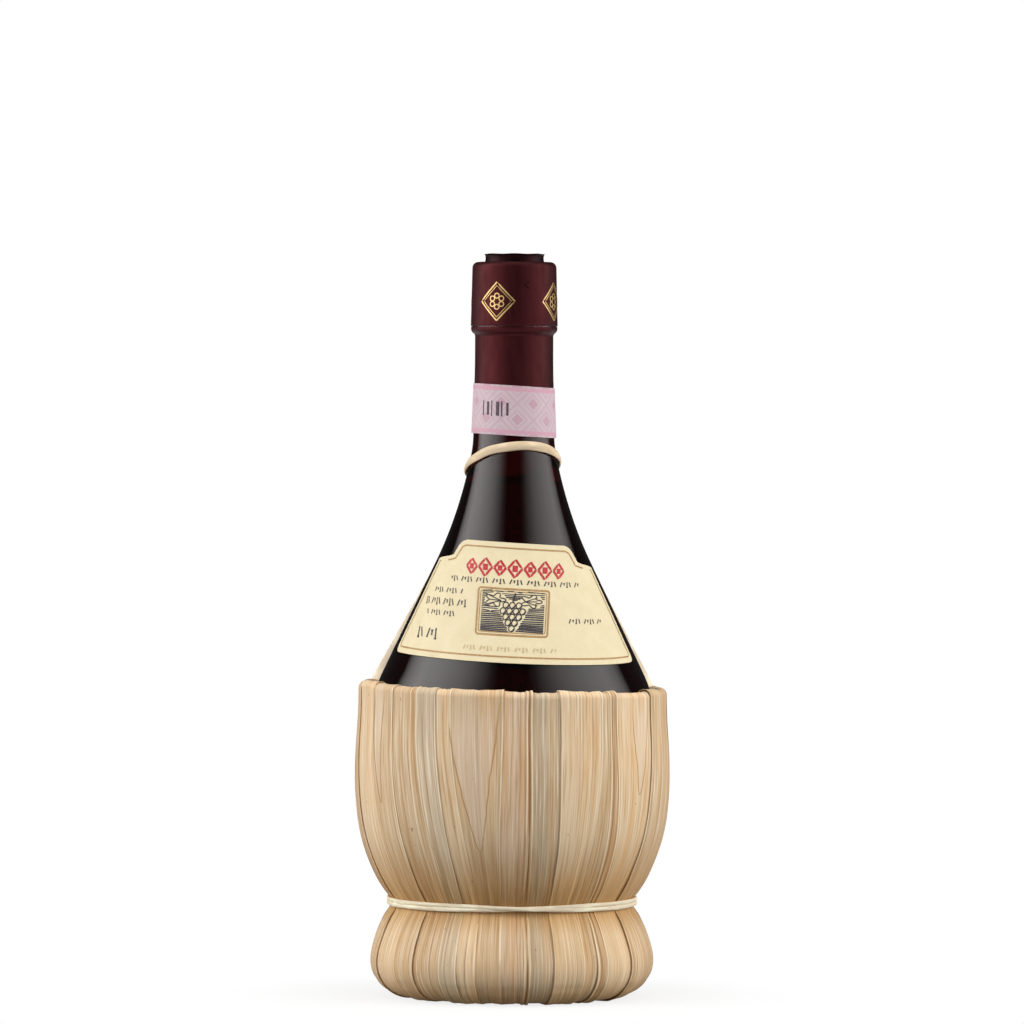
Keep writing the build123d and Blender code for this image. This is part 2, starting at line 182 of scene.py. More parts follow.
class Outline:
    """Smooth outline of arcs through stops, sampled with its outward normals."""

    turn_step = math.radians(3.0)
    run_step = 1.5

    def __init__(self, stops: Sequence[Stop]) -> None:
        """Samples the arcs through the stops.

        Args:
            stops: the stops in order.
        """
        self.points: list[Vector] = []
        self.runs: list[Vector] = []
        for near, far in zip(stops, stops[1:]):
            self._join(near, far)
        self.lengths = [0.0]
        for one, two in zip(self.points, self.points[1:]):
            self.lengths.append(self.lengths[-1] + (two - one).length)

    @staticmethod
    def _heading(lean: float) -> Vector:
        """Direction of a run with a lean."""
        return Vector((-math.sin(math.radians(lean)), math.cos(math.radians(lean))))

    def _join(self, near: Stop, far: Stop) -> None:
        """Adds one or two arcs from stop to stop.

        Args:
            near: stop where the run starts.
            far: stop where it ends.
        """
        start, end = Vector((near.r, near.z)), Vector((far.r, far.z))
        first, last = self._heading(near.lean), self._heading(far.lean)
        chord = end - start
        spread = 2 * (1 - first.dot(last))
        if abs(chord.normalized().cross(first)) < ALIGNED and spread < TINY:
            self._arc(start, end, first)
            return
        if spread < TINY:
            arm = chord.dot(chord) / (4 * chord.dot(last))
        else:
            lean = chord.dot(first + last)
            arm = (math.sqrt(lean * lean + spread * chord.dot(chord)) - lean) / spread
        one, two = start + first * arm, end - last * arm
        middle = (one + two) / 2
        self._arc(start, middle, first)
        self._arc(middle, end, (two - one).normalized())

    def _arc(self, start: Vector, end: Vector, run: Vector) -> None:
        """Adds the samples of one arc or line.

        Args:
            start: its start.
            end: its end.
            run: direction at its start.
        """
        chord = end - start
        turn = 2 * math.atan2(run.cross(chord), run.dot(chord))
        steps = max(1, math.ceil(abs(turn) / self.turn_step), math.ceil(chord.length / self.run_step))
        for step in range(0 if not self.points else 1, steps + 1):
            share = step / steps
            if abs(turn) < ROUNDING:
                point, heading = start + chord * share, run
            else:
                radius = chord.length / (2 * math.sin(turn / 2))
                side = Vector((-run.y, run.x))
                centre = start + side * radius
                heading = self._turned(run, turn * share)
                point = centre + self._turned(start - centre, turn * share)
            self.points.append(point)
            self.runs.append(heading)

    @staticmethod
    def _turned(arm: Vector, turn: float) -> Vector:
        """Turns an arm by an angle in radians."""
        c, s = math.cos(turn), math.sin(turn)
        return Vector((arm.x * c - arm.y * s, arm.x * s + arm.y * c))

    def moved(self, out: float) -> list[Pair]:
        """Samples moved outwards by a distance."""
        return [(p.x + t.y * out, p.y - t.x * out) for p, t in zip(self.points, self.runs)]

    def at(self, length: float) -> tuple[Vector, Vector]:
        """Point and outward normal at a length along the outline."""
        low, share = spot(self.lengths, length)
        run = self.runs[low].lerp(self.runs[low + 1], share).normalized()
        return self.points[low].lerp(self.points[low + 1], share), Vector((run.y, -run.x))

    def _passing(self, height: float) -> tuple[int, float]:
        """Where the outline first passes a height on its way up.

        Args:
            height: the height in mm.

        Returns:
            Index of the step, and the share of it below the height.
        """
        for index, (one, two) in enumerate(zip(self.points, self.points[1:])):
            if one.y <= height <= two.y and two.y > one.y:
                return index, (height - one.y) / (two.y - one.y)
        return len(self.points) - 2, 1.0

    def radius_at(self, height: float) -> float:
        """Radius where the outline first passes a height."""
        index, share = self._passing(height)
        return self.points[index].x + (self.points[index + 1].x - self.points[index].x) * share

    def length_at(self, height: float) -> float:
        """Length along the outline where it first passes a height."""
        index, share = self._passing(height)
        return self.lengths[index] + share * (self.points[index + 1] - self.points[index]).length


# Making meshes.


class Bench:
    """Takes one object in hand at a time."""

    @staticmethod
    def clear() -> None:
        """Lets go of everything."""
        if bpy.context.object and bpy.context.object.mode != "OBJECT":
            bpy.ops.object.mode_set(mode="OBJECT")
        bpy.ops.object.select_all(action="DESELECT")

    @staticmethod
    def hold(obj: Piece) -> None:
        """Selects one object alone."""
        Bench.clear()
        obj.select_set(True)
        bpy.context.view_layer.objects.active = obj

    @staticmethod
    def edit(obj: Piece) -> None:
        """Opens one object's mesh with all of it selected."""
        Bench.hold(obj)
        bpy.ops.object.mode_set(mode="EDIT")
        bpy.ops.mesh.select_all(action="SELECT")

    @staticmethod
    def close(obj: Piece, outwards: bool = True) -> None:
        """Merges touching points, turns the faces outwards and leaves the mesh.

        Args:
            obj: the object.
            outwards: whether the faces are turned.
        """
        Bench.edit(obj)
        bpy.ops.mesh.remove_doubles(threshold=MERGE_GAP * MM)
        if outwards:
            bpy.ops.mesh.normals_make_consistent(inside=False)
        bpy.ops.object.mode_set(mode="OBJECT")

    @staticmethod
    def smooth(obj: Piece, degrees: float) -> None:
        """Smooth shading that keeps edges sharper than an angle."""
        Bench.hold(obj)
        bpy.ops.object.shade_smooth_by_angle(angle=math.radians(degrees))

    @staticmethod
    def thicken(obj: Piece, thickness: float, offset: float = -1.0) -> None:
        """Gives a sheet its thickness in mm, inwards unless the offset says otherwise.

        Args:
            obj: the sheet.
            thickness: its thickness in mm.
            offset: -1 for inwards, 1 for outwards.
        """
        Bench.hold(obj)
        wall = obj.modifiers.new("thickness", "SOLIDIFY")
        wall.thickness = thickness * MM
        wall.offset = offset
        wall.use_even_offset = False
        bpy.ops.object.modifier_apply(modifier=wall.name)

    @staticmethod
    def joined(name: str, parts: Sequence[Piece]) -> Piece:
        """Joins objects to one with a name.

        Args:
            name: name of the piece.
            parts: the objects.

        Returns:
            The object.
        """
        Bench.clear()
        for part in parts:
            part.select_set(True)
        bpy.context.view_layer.objects.active = parts[0]
        if len(parts) > 1:
            bpy.ops.object.join()
        parts[0].name = parts[0].data.name = name
        return parts[0]


def turned(name: str, outline: Sequence[Pair], steps: int = 192) -> Piece:
    """Turned piece: an outline drawn point by point and spun round the axis.

    Args:
        name: name of the piece.
        outline: radius and height of each point in mm.
        steps: faces round the axis.

    Returns:
        The object.
    """
    Bench.clear()
    bpy.ops.mesh.primitive_circle_add(vertices=8, radius=MM)
    obj = bpy.context.object
    obj.name = obj.data.name = name
    Bench.edit(obj)
    bpy.ops.mesh.merge(type="CENTER")
    bpy.ops.mesh.select_all(action="SELECT")
    bpy.ops.transform.translate(value=(outline[0][0] * MM, 0, outline[0][1] * MM))
    for near, far in zip(outline, outline[1:]):
        step = ((far[0] - near[0]) * MM, 0, (far[1] - near[1]) * MM)
        bpy.ops.mesh.extrude_region_move(TRANSFORM_OT_translate={"value": step})
    bpy.ops.mesh.select_all(action="SELECT")
    bpy.ops.mesh.spin(steps=steps, angle=math.tau, center=(0, 0, 0), axis=(0, 0, 1))
    Bench.close(obj)
    return obj


def laid(
    name: str,
    columns: int,
    rows: int,
    place: Place,
    size: Pair = (1.0, 1.0),
    chart: Optional[Callable[[float, float], Pair]] = None,
    marks: Optional[dict[str, Mark]] = None,
) -> Piece:
    """Sheet: a grid whose points are laid one by one.

    Args:
        name: name of the piece.
        columns: faces across.
        rows: faces along.
        place: gives a point in metres from the shares across and along.
        size: size of the sheet in mm, for the map of its surface.
        chart: place on that map in mm, in its stead.
        marks: what is written all over the sheet, by its name.

    Returns:
        The object.
    """
    Bench.clear()
    bpy.ops.mesh.primitive_grid_add(x_subdivisions=columns, y_subdivisions=rows, size=2)
    obj = bpy.context.object
    obj.name = obj.data.name = name
    mesh = obj.data
    shares = [((v.co.x + 1) / 2, (v.co.y + 1) / 2) for v in mesh.vertices]
    for key, value in (marks or {}).items():
        layer = mesh.color_attributes.new(key, "FLOAT_COLOR", "POINT")
        layer.data.foreach_set("color", list(value) * len(shares))
    for vertex, (across, along) in zip(mesh.vertices, shares):
        vertex.co = place(across, along)
    for item in mesh.uv_layers[0].data:
        u, v = chart(item.uv.x, item.uv.y) if chart else (item.uv.x * size[0], item.uv.y * size[1])
        item.uv = (u * MM, v * MM)
    return obj


def tube(
    name: str,
    path: Path,
    section: Callable[[float, float], Pair],
    rows: int,
    columns: int,
    closed: bool,
    length: float,
    up: Optional[Path] = None,
) -> Piece:
    """Tube of any section along a path.

    Args:
        name: name of the piece.
        path: point in mm at a share of the length.
        section: reach along the side and the up direction in mm, from shares round and along.
        rows: faces along.
        columns: faces round.
        closed: whether the path is a ring.
        length: length in mm, for the map of its surface.
        up: direction of the section's second reach, upwards if left out.

    Returns:
        The object.
    """

    def place(across: float, along: float) -> Vector:
        """Point at the shares round and along the tube."""
        step = 1e-3
        run = (path(along + step) - path(along - step)).normalized()
        lift = up(along) if up else Vector((0, 0, 1))
        side = run.cross(lift).normalized()
        lift = side.cross(run).normalized()
        reach = section(across, along)
        return (path(along) + side * reach[0] + lift * reach[1]) * MM

    obj = laid(name, columns, rows, place, (6.0, length))
    Bench.close(obj, outwards=closed)
    if not closed:
        Bench.edit(obj)
        bpy.ops.mesh.select_all(action="DESELECT")
        bpy.ops.mesh.select_non_manifold()
        bpy.ops.mesh.fill_holes(sides=columns + 2)
        bpy.ops.mesh.select_all(action="SELECT")
        bpy.ops.mesh.normals_make_consistent(inside=False)
        bpy.ops.object.mode_set(mode="OBJECT")
    return obj


def stroke(points: Sequence[Pair], width: float, lay: Place) -> Piece:
    """Thin line through points.

    Args:
        points: arc length and height of each point in mm.
        width: width of the line in mm.
        lay: gives a point in metres from an arc length and a height.

    Returns:
        The object, without thickness.
    """
    last = len(points) - 1

    def place(across: float, along: float) -> Vector:
        """Point at the shares across and along the line."""
        index = min(int(along * last + ROUNDING), last - 1)
        one, two = Vector(points[index]), Vector(points[index + 1])
        run = (two - one).normalized()
        at = one.lerp(two, along * last - index) + Vector((run.y, -run.x)) * (across - 0.5) * width
        return lay(at.x, at.y)

    return laid("stroke", 1, last, place)


# Wiring of materials.


class Wiring:
    """Wires up the look of one material."""

    def __init__(self, tree: bpy.types.NodeTree) -> None:
        """Takes a tree in hand."""
        self.tree = tree

    def add(self, kind: str, values: Optional[dict] = None, **settings: object) -> Node:
        """Adds a step.

        Args:
            kind: kind of step.
            values: what each of its inputs gets, a constant or another step's output.
            settings: its own settings.

        Returns:
            The step.
        """
        node = self.tree.nodes.new("ShaderNode" + kind)
        for key, value in settings.items():
            setattr(node, key, value)
        for key, value in (values or {}).items():
            self.feed(node.inputs[key], value)
        return node

    def feed(self, socket: Socket, value: Feed) -> None:
        """Links a socket or sets its constant.

        Args:
            socket: the input.
            value: a constant or a socket.
        """
        if isinstance(value, Socket):
            self.tree.links.new(value, socket)
        elif isinstance(value, tuple) and socket.type == "RGBA" and len(value) == 3:
            socket.default_value = (*value, 1.0)
        else:
            socket.default_value = value

    def coat(self, name: str, value: Feed) -> None:
        """Feeds an input of the material's own shader."""
        self.feed(self.tree.nodes["Principled BSDF"].inputs[name], value)

    def end(self, name: str, value: Feed) -> None:
        """Feeds an input of the material's output."""
        self.feed(self.tree.nodes["Material Output"].inputs[name], value)

    def math(self, operation: str, *values: Feed) -> Socket:
        """Result of an operation on values.

        Args:
            operation: the operation.
            values: constants or sockets.

        Returns:
            The result.
        """
        node = self.add("Math", operation=operation)
        for socket, value in zip(node.inputs, values):
            self.feed(socket, value)
        return node.outputs[0]

    def product(self, one: Feed, two: Feed) -> Socket:
        """Product of two values."""
        return self.math("MULTIPLY", one, two)

    def apart(self, one: Feed, two: Feed) -> Socket:
        """Distance between two values."""
        return self.math("ABSOLUTE", self.math("SUBTRACT", one, two))

    def times(self, vector: Feed, x: float, y: float, z: float = 1.0) -> Socket:
        """Vector stretched by three factors."""
        return self.add("VectorMath", {0: vector, 1: (x, y, z)}, operation="MULTIPLY").outputs[0]

    def mix(self, factor: Feed, one: Feed, two: Feed, blend: str = "MIX") -> Socket:
        """Mix of two colours."""
        node = self.add("Mix", {0: factor, 6: one, 7: two}, data_type="RGBA", blend_type=blend)
        return node.outputs[2]

    def tinted(self, colour: Feed, by: Colour) -> Socket:
        """Colour multiplied by another."""
        return self.mix(1.0, colour, by, "MULTIPLY")

    def noise(self, vector: Feed, scale: float, detail: float = 2.0, rough: float = 0.5) -> Socket:
        """Random clouds at a scale."""
        values = {"Vector": vector, "Scale": scale, "Detail": detail, "Roughness": rough}
        return self.add("TexNoise", values).outputs[0]

    def ramp(self, value: Feed, stops: Sequence[tuple[float, Colour]]) -> Socket:
        """Colour read off a ramp.

        Args:
            value: what is read, from 0 to 1.
            stops: place and colour of each stop.

        Returns:
            The colour.
        """
        node = self.add("ValToRGB", {0: value})
        elements = node.color_ramp.elements
        while len(elements) < len(stops):
            elements.new(0.5)
        for element, (at, colour) in zip(elements, stops):
            element.position = at
            element.color = (*colour, 1.0)
        return node.outputs[0]

    def span(
        self, value: Feed, low: float, high: float, start: float = 0.0, end: float = 1.0
    ) -> Socket:
        """Value taken from one range to another, held at its ends."""
        values = {0: value, 1: low, 2: high, 3: start, 4: end}
        return self.add("MapRange", values, interpolation_type="SMOOTHSTEP").outputs[0]

    def split(self, vector: Feed) -> tuple[Socket, ...]:
        """The three parts of a vector."""
        return tuple(self.add("SeparateXYZ", {0: vector}).outputs)

    def where(self, output: str = "Object") -> Socket:
        """Coordinates of the piece itself."""
        return self.add("TexCoord").outputs[output]

    def chart(self) -> Socket:
        """Coordinates of the piece's own map, in metres."""
        return self.add("UVMap", uv_map="UVMap").outputs[0]

    def mark(self, name: str) -> Node:
        """Node that reads what was written on the piece under a name."""
        return self.add("Attribute", attribute_name=name)

    def parts(self, colour: Feed) -> tuple[Socket, ...]:
        """The three parts of a colour."""
        return tuple(self.add("SeparateColor", {0: colour}).outputs)

    def seen(self) -> Socket:
        """1 where the camera looks, straight or through glass."""
        path = self.add("LightPath")
        return self.math("MAXIMUM", path.outputs["Is Camera Ray"], path.outputs["Is Transmission Ray"])

    def relief(
        self, height: Feed, distance: float, strength: float = 1.0, under: Optional[Socket] = None
    ) -> Socket:
        """Normal bent by a height.

        Args:
            height: the height, from 0 to 1.
            distance: its reach in mm.
            strength: how much of it shows.
            under: normal that it is laid on, the piece's own if left out.

        Returns:
            The normal.
        """
        values = {"Height": height, "Distance": distance * MM, "Strength": strength}
        if under is not None:
            values["Normal"] = under
        return self.add("Bump", values).outputs[0]


def new_material(name: str) -> tuple[bpy.types.Material, Wiring]:
    """New material with its wiring."""
    made = bpy.data.materials.new(name)
    made.use_nodes = True
    return made, Wiring(made.node_tree)


class SharedEffect(Enum):
    """Effects that several finishes share."""

    FIBRES = "plant_fibres"
    TOOTH = "paper_tooth"
    MARKS = "fine_marks"

    def tree(self) -> bpy.types.NodeTree:
        """The effect's own wiring, built once.

        Returns:
            What takes a vector and a scale to a shade and a height.
        """
        if self.value not in bpy.data.node_groups:
            tree = bpy.data.node_groups.new(self.value, "ShaderNodeTree")
            face = tree.interface
            for name, way, kind in (
                ("Vector", "INPUT", "NodeSocketVector"),
                ("Scale", "INPUT", "NodeSocketFloat"),
                ("Shade", "OUTPUT", "NodeSocketFloat"),
                ("Height", "OUTPUT", "NodeSocketFloat"),
            ):
                face.new_socket(name, in_out=way, socket_type=kind)
            wiring = Wiring(tree)
            source = tree.nodes.new("NodeGroupInput")
            target = tree.nodes.new("NodeGroupOutput")
            node = wiring.add("VectorMath", {0: source.outputs[0]}, operation="SCALE")
            wiring.feed(node.inputs["Scale"], source.outputs[1])
            makers = (self._fibres, self._tooth, self._marks)
            make = dict(zip(SharedEffect, makers))[self]
            shade, height = make(wiring, node.outputs[0])
            wiring.feed(target.inputs[0], shade)
            wiring.feed(target.inputs[1], height)
        return bpy.data.node_groups[self.value]

    def place(self, wiring: Wiring, vector: Socket, scale: float) -> tuple[Socket, Socket]:
        """Places the effect in a material.

        Args:
            wiring: wiring of the material.
            vector: coordinates that the effect follows.
            scale: its scale.

        Returns:
            Its shade and its height.
        """
        node = wiring.add("Group", node_tree=self.tree())
        wiring.feed(node.inputs[0], vector)
        wiring.feed(node.inputs[1], scale)
        return node.outputs[0], node.outputs[1]

    @staticmethod
    def _fibres(wiring: Wiring, vector: Socket) -> tuple[Socket, Socket]:
        """Long fibres along the second coordinate.

        Args:
            wiring: wiring of the group.
            vector: coordinates.

        Returns:
            Shade and height.
        """
        coarse = wiring.noise(wiring.times(vector, 1.0, 0.045), 900, 3, 0.6)
        fine = wiring.noise(wiring.times(vector, 1.0, 0.02), 3200, 2, 0.6)
        broad = wiring.noise(wiring.times(vector, 1.0, 0.12), 260, 2, 0.5)
        both = wiring.math("MULTIPLY_ADD", fine, 0.4, wiring.product(coarse, 0.6))
        shade = wiring.math("MULTIPLY_ADD", broad, 0.35, wiring.product(both, 0.65))
        return shade, both

    @staticmethod
    def _tooth(wiring: Wiring, vector: Socket) -> tuple[Socket, Socket]:
        """Cloudy pulp and short crossed fibres of paper.

        Args:
            wiring: wiring of the group.
            vector: coordinates.

        Returns:
            Shade and height.
        """
        cloud = wiring.noise(vector, 160, 4, 0.6)
        one = wiring.noise(wiring.times(vector, 1.0, 0.25), 2600, 2)
        two = wiring.noise(wiring.times(vector, 0.25, 1.0), 2400, 2)
        tooth = wiring.math("MAXIMUM", one, two)
        shade = wiring.math("MULTIPLY_ADD", tooth, 0.4, wiring.product(cloud, 0.6))
        return shade, tooth

    @staticmethod
    def _marks(wiring: Wiring, vector: Socket) -> tuple[Socket, Socket]:
        """Faint handling marks and dust.

        Args:
            wiring: wiring of the group.
            vector: coordinates.

        Returns:
            Shade and height.
        """
        cloud = wiring.noise(vector, 60, 5, 0.65)
        specks = wiring.span(wiring.noise(vector, 2100, 1), 0.68, 0.78)
        rubbed = wiring.noise(wiring.times(vector, 1.0, 1.0, 0.3), 480, 3)
        shade = wiring.math("MULTIPLY_ADD", specks, 0.5, wiring.product(cloud, 0.5))
        return shade, rubbed


class Finish:
    """What a piece is made of: a material built the first time it is asked for."""

    name: str

    def material(self) -> bpy.types.Material:
        """The finish's material.

        Returns:
            The material, built once for each name.
        """
        if self.name not in bpy.data.materials:
            _, wiring = new_material(self.name)
            self.dress(wiring)
        return bpy.data.materials[self.name]

    def dress(self, wiring: Wiring) -> None:
        """Wires the finish, given by each kind of finish."""
        raise NotImplementedError

    def on(self, obj: Piece) -> None:
        """Gives an object this finish alone."""
        obj.data.materials.clear()
        obj.data.materials.append(self.material())
        obj.data.polygons.foreach_set("material_index", [0] * len(obj.data.polygons))

    def declare(self, obj: Piece, body: str, slot: str, node: str = "") -> None:
        """Args:
            obj: the piece.
            body: body that it moves with.
            slot: its material slot, not used.
            node: node whose place it takes, if any.
        """
        self.on(obj)
        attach(obj, body)
        if node:
            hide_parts(node)


@dataclass(frozen=True)
class GlassFinish(Finish):
    """Dark brown-red bottle glass."""

    tint: Colour = (0.3, 0.16, 0.15)
    depth: Colour = (0.63, 0.1, 0.04)
    density: float = 700.0
    roughness: float = 0.0
    name: str = "bottle_glass"

    def dress(self, wiring: Wiring) -> None:
        """Wires clear tinted glass with faint ripples of its blowing.

        Args:
            wiring: wiring of the material.
        """
        place = wiring.where()
        shade, _ = SharedEffect.MARKS.place(wiring, place, 1.0)
        colour = wiring.mix(shade, self.tint, tuple(c * 0.9 for c in self.tint))
        wiring.coat("Base Color", colour)
        rough = wiring.span(shade, 0.5, 0.9, self.roughness, self.roughness + 0.08)
        wiring.coat("Roughness", rough)
        wiring.coat("Transmission Weight", 1.0)
        wiring.coat("IOR", 1.5)
        ripple = wiring.noise(wiring.times(place, 1.0, 1.0, 0.5), 55, 2)
        wiring.coat("Normal", wiring.relief(ripple, 0.12, 0.25))
        depth = wiring.add("VolumeAbsorption", {"Color": self.depth, "Density": self.density})
        wiring.end("Volume", depth.outputs[0])


@dataclass(frozen=True)
class WineFinish(Finish):
    """Deep red wine."""

    tint: Colour = (0.8, 0.06, 0.05)
    density: float = 190.0
    name: str = "red_wine"

    def dress(self, wiring: Wiring) -> None:
        """Wires the liquid's clear surface and the colour of its depth.

        Args:
            wiring: wiring of the material.
        """
        place = wiring.where()
        cloud = wiring.noise(place, 30, 2)
        wiring.coat("Base Color", wiring.mix(cloud, (1.0, 0.96, 0.96), (0.97, 0.92, 0.92)))
        wiring.coat("Roughness", 0.0)
        wiring.coat("Transmission Weight", 1.0)
        wiring.coat("IOR", 1.34)
        depth = wiring.add("VolumeAbsorption", {"Color": self.tint, "Density": self.density})
        wiring.end("Volume", depth.outputs[0])


@dataclass(frozen=True)
class CorkFinish(Finish):
    """Natural cork with dark pores."""

    pale: Colour = (0.62, 0.43, 0.26)
    deep: Colour = (0.36, 0.21, 0.11)
    name: str = "natural_cork"

    def dress(self, wiring: Wiring) -> None:
        """Wires the grain, the pores and their hollows.

        Args:
            wiring: wiring of the material.
        """
        place = wiring.where()
        grain = wiring.noise(place, 420, 6, 0.7)
        streak = wiring.noise(wiring.times(place, 0.35, 1.0), 700, 3)
        pores = wiring.span(wiring.product(streak, grain), 0.34, 0.42)
        colour = wiring.mix(grain, self.pale, self.deep)
        colour = wiring.mix(pores, colour, (0.12, 0.06, 0.03))
        wiring.coat("Base Color", colour)
        wiring.coat("Roughness", wiring.span(grain, 0.2, 0.8, 0.7, 0.95))
        height = wiring.math("SUBTRACT", grain, wiring.product(pores, 0.8))
        wiring.coat("Normal", wiring.relief(height, 0.25))


@dataclass(frozen=True)
class FilmFinish(Finish):
    """Matt burgundy shrink film."""

    colour: Colour = (0.046, 0.0078, 0.0092)
    lighter: float = 1.25
    roughness: float = 0.46
    pigment: float = 0.82
    name: str = "burgundy_film"

    def dress(self, wiring: Wiring) -> None:
        """Wires the film's rubbed colour and its faint wrinkles.

        Args:
            wiring: wiring of the material.
        """
        place = wiring.where()
        shade, rubbed = SharedEffect.MARKS.place(wiring, place, 1.0)
        light = tuple(c * self.lighter for c in self.colour)
        wiring.coat("Base Color", wiring.mix(shade, self.colour, light))
        rough = wiring.span(rubbed, 0.3, 0.7, self.roughness - 0.06, self.roughness + 0.1)
        wiring.coat("Roughness", rough)
        wiring.coat("Metallic", self.pigment)
        wiring.coat("Specular IOR Level", 0.2)
        wrinkle = wiring.noise(wiring.times(place, 1.0, 1.0, 0.22), 170, 3)
        first = wiring.relief(wrinkle, 0.2, 0.3)
        wiring.coat("Normal", wiring.relief(rubbed, 0.03, 0.4, first))


@dataclass(frozen=True)
class FoilFinish(Finish):
    """Gold print."""

    colour: Colour = (0.72, 0.5, 0.2)
    name: str = "gold_print"

    def dress(self, wiring: Wiring) -> None:
        """Wires the rubbed metal.

        Args:
            wiring: wiring of the material.
        """
        shade, rubbed = SharedEffect.MARKS.place(wiring, wiring.where(), 2.0)
        dull = tuple(c * 0.7 for c in self.colour)
        wiring.coat("Base Color", wiring.mix(rubbed, self.colour, dull))
        wiring.coat("Metallic", wiring.span(shade, 0.0, 1.0, 0.75, 0.45))
        wiring.coat("Roughness", wiring.span(rubbed, 0.2, 0.8, 0.32, 0.5))


@dataclass(frozen=True)
class PaperFinish(Finish):
    """Plain paper with its tooth."""

    colour: Colour = (0.8, 0.7, 0.46)
    shadow: Colour = (0.74, 0.63, 0.39)
    roughness: float = 0.62
    name: str = "cream_paper_sheet"

    def dress(self, wiring: Wiring) -> None:
        """Wires the pulp.

        Args:
            wiring: wiring of the material.
        """
        pulp, tooth = SharedEffect.TOOTH.place(wiring, wiring.where(), 1.0)
        tone = wiring.span(pulp, 0.3, 0.75)
        wiring.coat("Base Color", wiring.mix(tone, self.shadow, self.colour))
        wiring.coat("Roughness", wiring.span(tone, 0, 1, self.roughness + 0.1, self.roughness))
        wiring.coat("Normal", wiring.relief(tooth, 0.02, 0.5))


@dataclass(frozen=True)
class InkFinish(Finish):
    """Printing ink on paper."""

    colour: Colour = (0.25, 0.13, 0.06)
    name: str = "ink"

    def dress(self, wiring: Wiring) -> None:
        """Wires ink that takes a little of the paper's tooth.

        Args:
            wiring: wiring of the material.
        """
        _, tooth = SharedEffect.TOOTH.place(wiring, wiring.where(), 1.0)
        worn = tuple(min(c * 1.5 + 0.03, 1) for c in self.colour)
        tone = wiring.span(tooth, 0.45, 0.8)
        wiring.coat("Base Color", wiring.mix(tone, self.colour, worn))
        wiring.coat("Roughness", wiring.span(tone, 0, 1, 0.5, 0.7))


@dataclass(frozen=True)
class SealFinish(Finish):
    """Pink paper printed with a lattice of lozenges, rings in its cells and a line along both edges."""

    colour: Colour = (0.66, 0.52, 0.56)
    shadow: Colour = (0.6, 0.48, 0.52)
    line: Colour = (0.66, 0.36, 0.45)
    shape: Colour = (0.56, 0.33, 0.4)
    width: float = 17.2
    cell: float = 5.6
    ring: float = 3.2
    margin: float = 1.3
    name: str = "pink_seal_paper"

    def dress(self, wiring: Wiring) -> None:
        """Wires the printed pattern on the band's own map.

        Args:
            wiring: wiring of the material.
        """
        across, along, _ = wiring.split(wiring.chart())
        pulp, tooth = SharedEffect.TOOTH.place(wiring, wiring.where(), 1.0)
        pale = wiring.mix(wiring.span(pulp, 0.3, 0.75), self.shadow, self.colour)
        cell = self.cell * MM
        one = wiring.math("PINGPONG", wiring.math("ADD", across, along), cell)
        two = wiring.math("PINGPONG", wiring.math("SUBTRACT", across, along), cell)
        lattice = wiring.span(wiring.math("MINIMUM", one, two), 0.35 * MM, 0.6 * MM, 0.45, 0.0)
        far = wiring.math("MAXIMUM", wiring.math("SUBTRACT", cell, one), wiring.math("SUBTRACT", cell, two))
        blocks = wiring.span(far, 1.9 * MM, 2.1 * MM, 0.8, 0.0)
        rings = wiring.span(wiring.apart(far, self.ring * MM), 0.3 * MM, 0.45 * MM, 0.45, 0.0)
        pattern = wiring.math("MAXIMUM", lattice, wiring.math("MAXIMUM", blocks, rings))
        colour = wiring.mix(pattern, pale, self.shape)
        edge = wiring.math("MINIMUM", along, wiring.math("SUBTRACT", self.width * MM, along))
        border = wiring.span(wiring.apart(edge, self.margin * MM), 0.55 * MM, 0.75 * MM, 0.9, 0.0)
        colour = wiring.mix(border, colour, self.line)
        wiring.coat("Base Color", colour)
        wiring.coat("Roughness", wiring.span(pulp, 0.3, 0.7, 0.75, 0.6))
        wiring.coat("Normal", wiring.relief(tooth, 0.02, 0.5))


class LeafTone(Enum):
    """Tones of a dried leaf, as places on its finish's ramp."""

    CREAM = 0.0
    TAN = 0.2
    STRAW = 0.4
    GREY = 0.6
    BLUSH = 0.8
    BROWN = 1.0


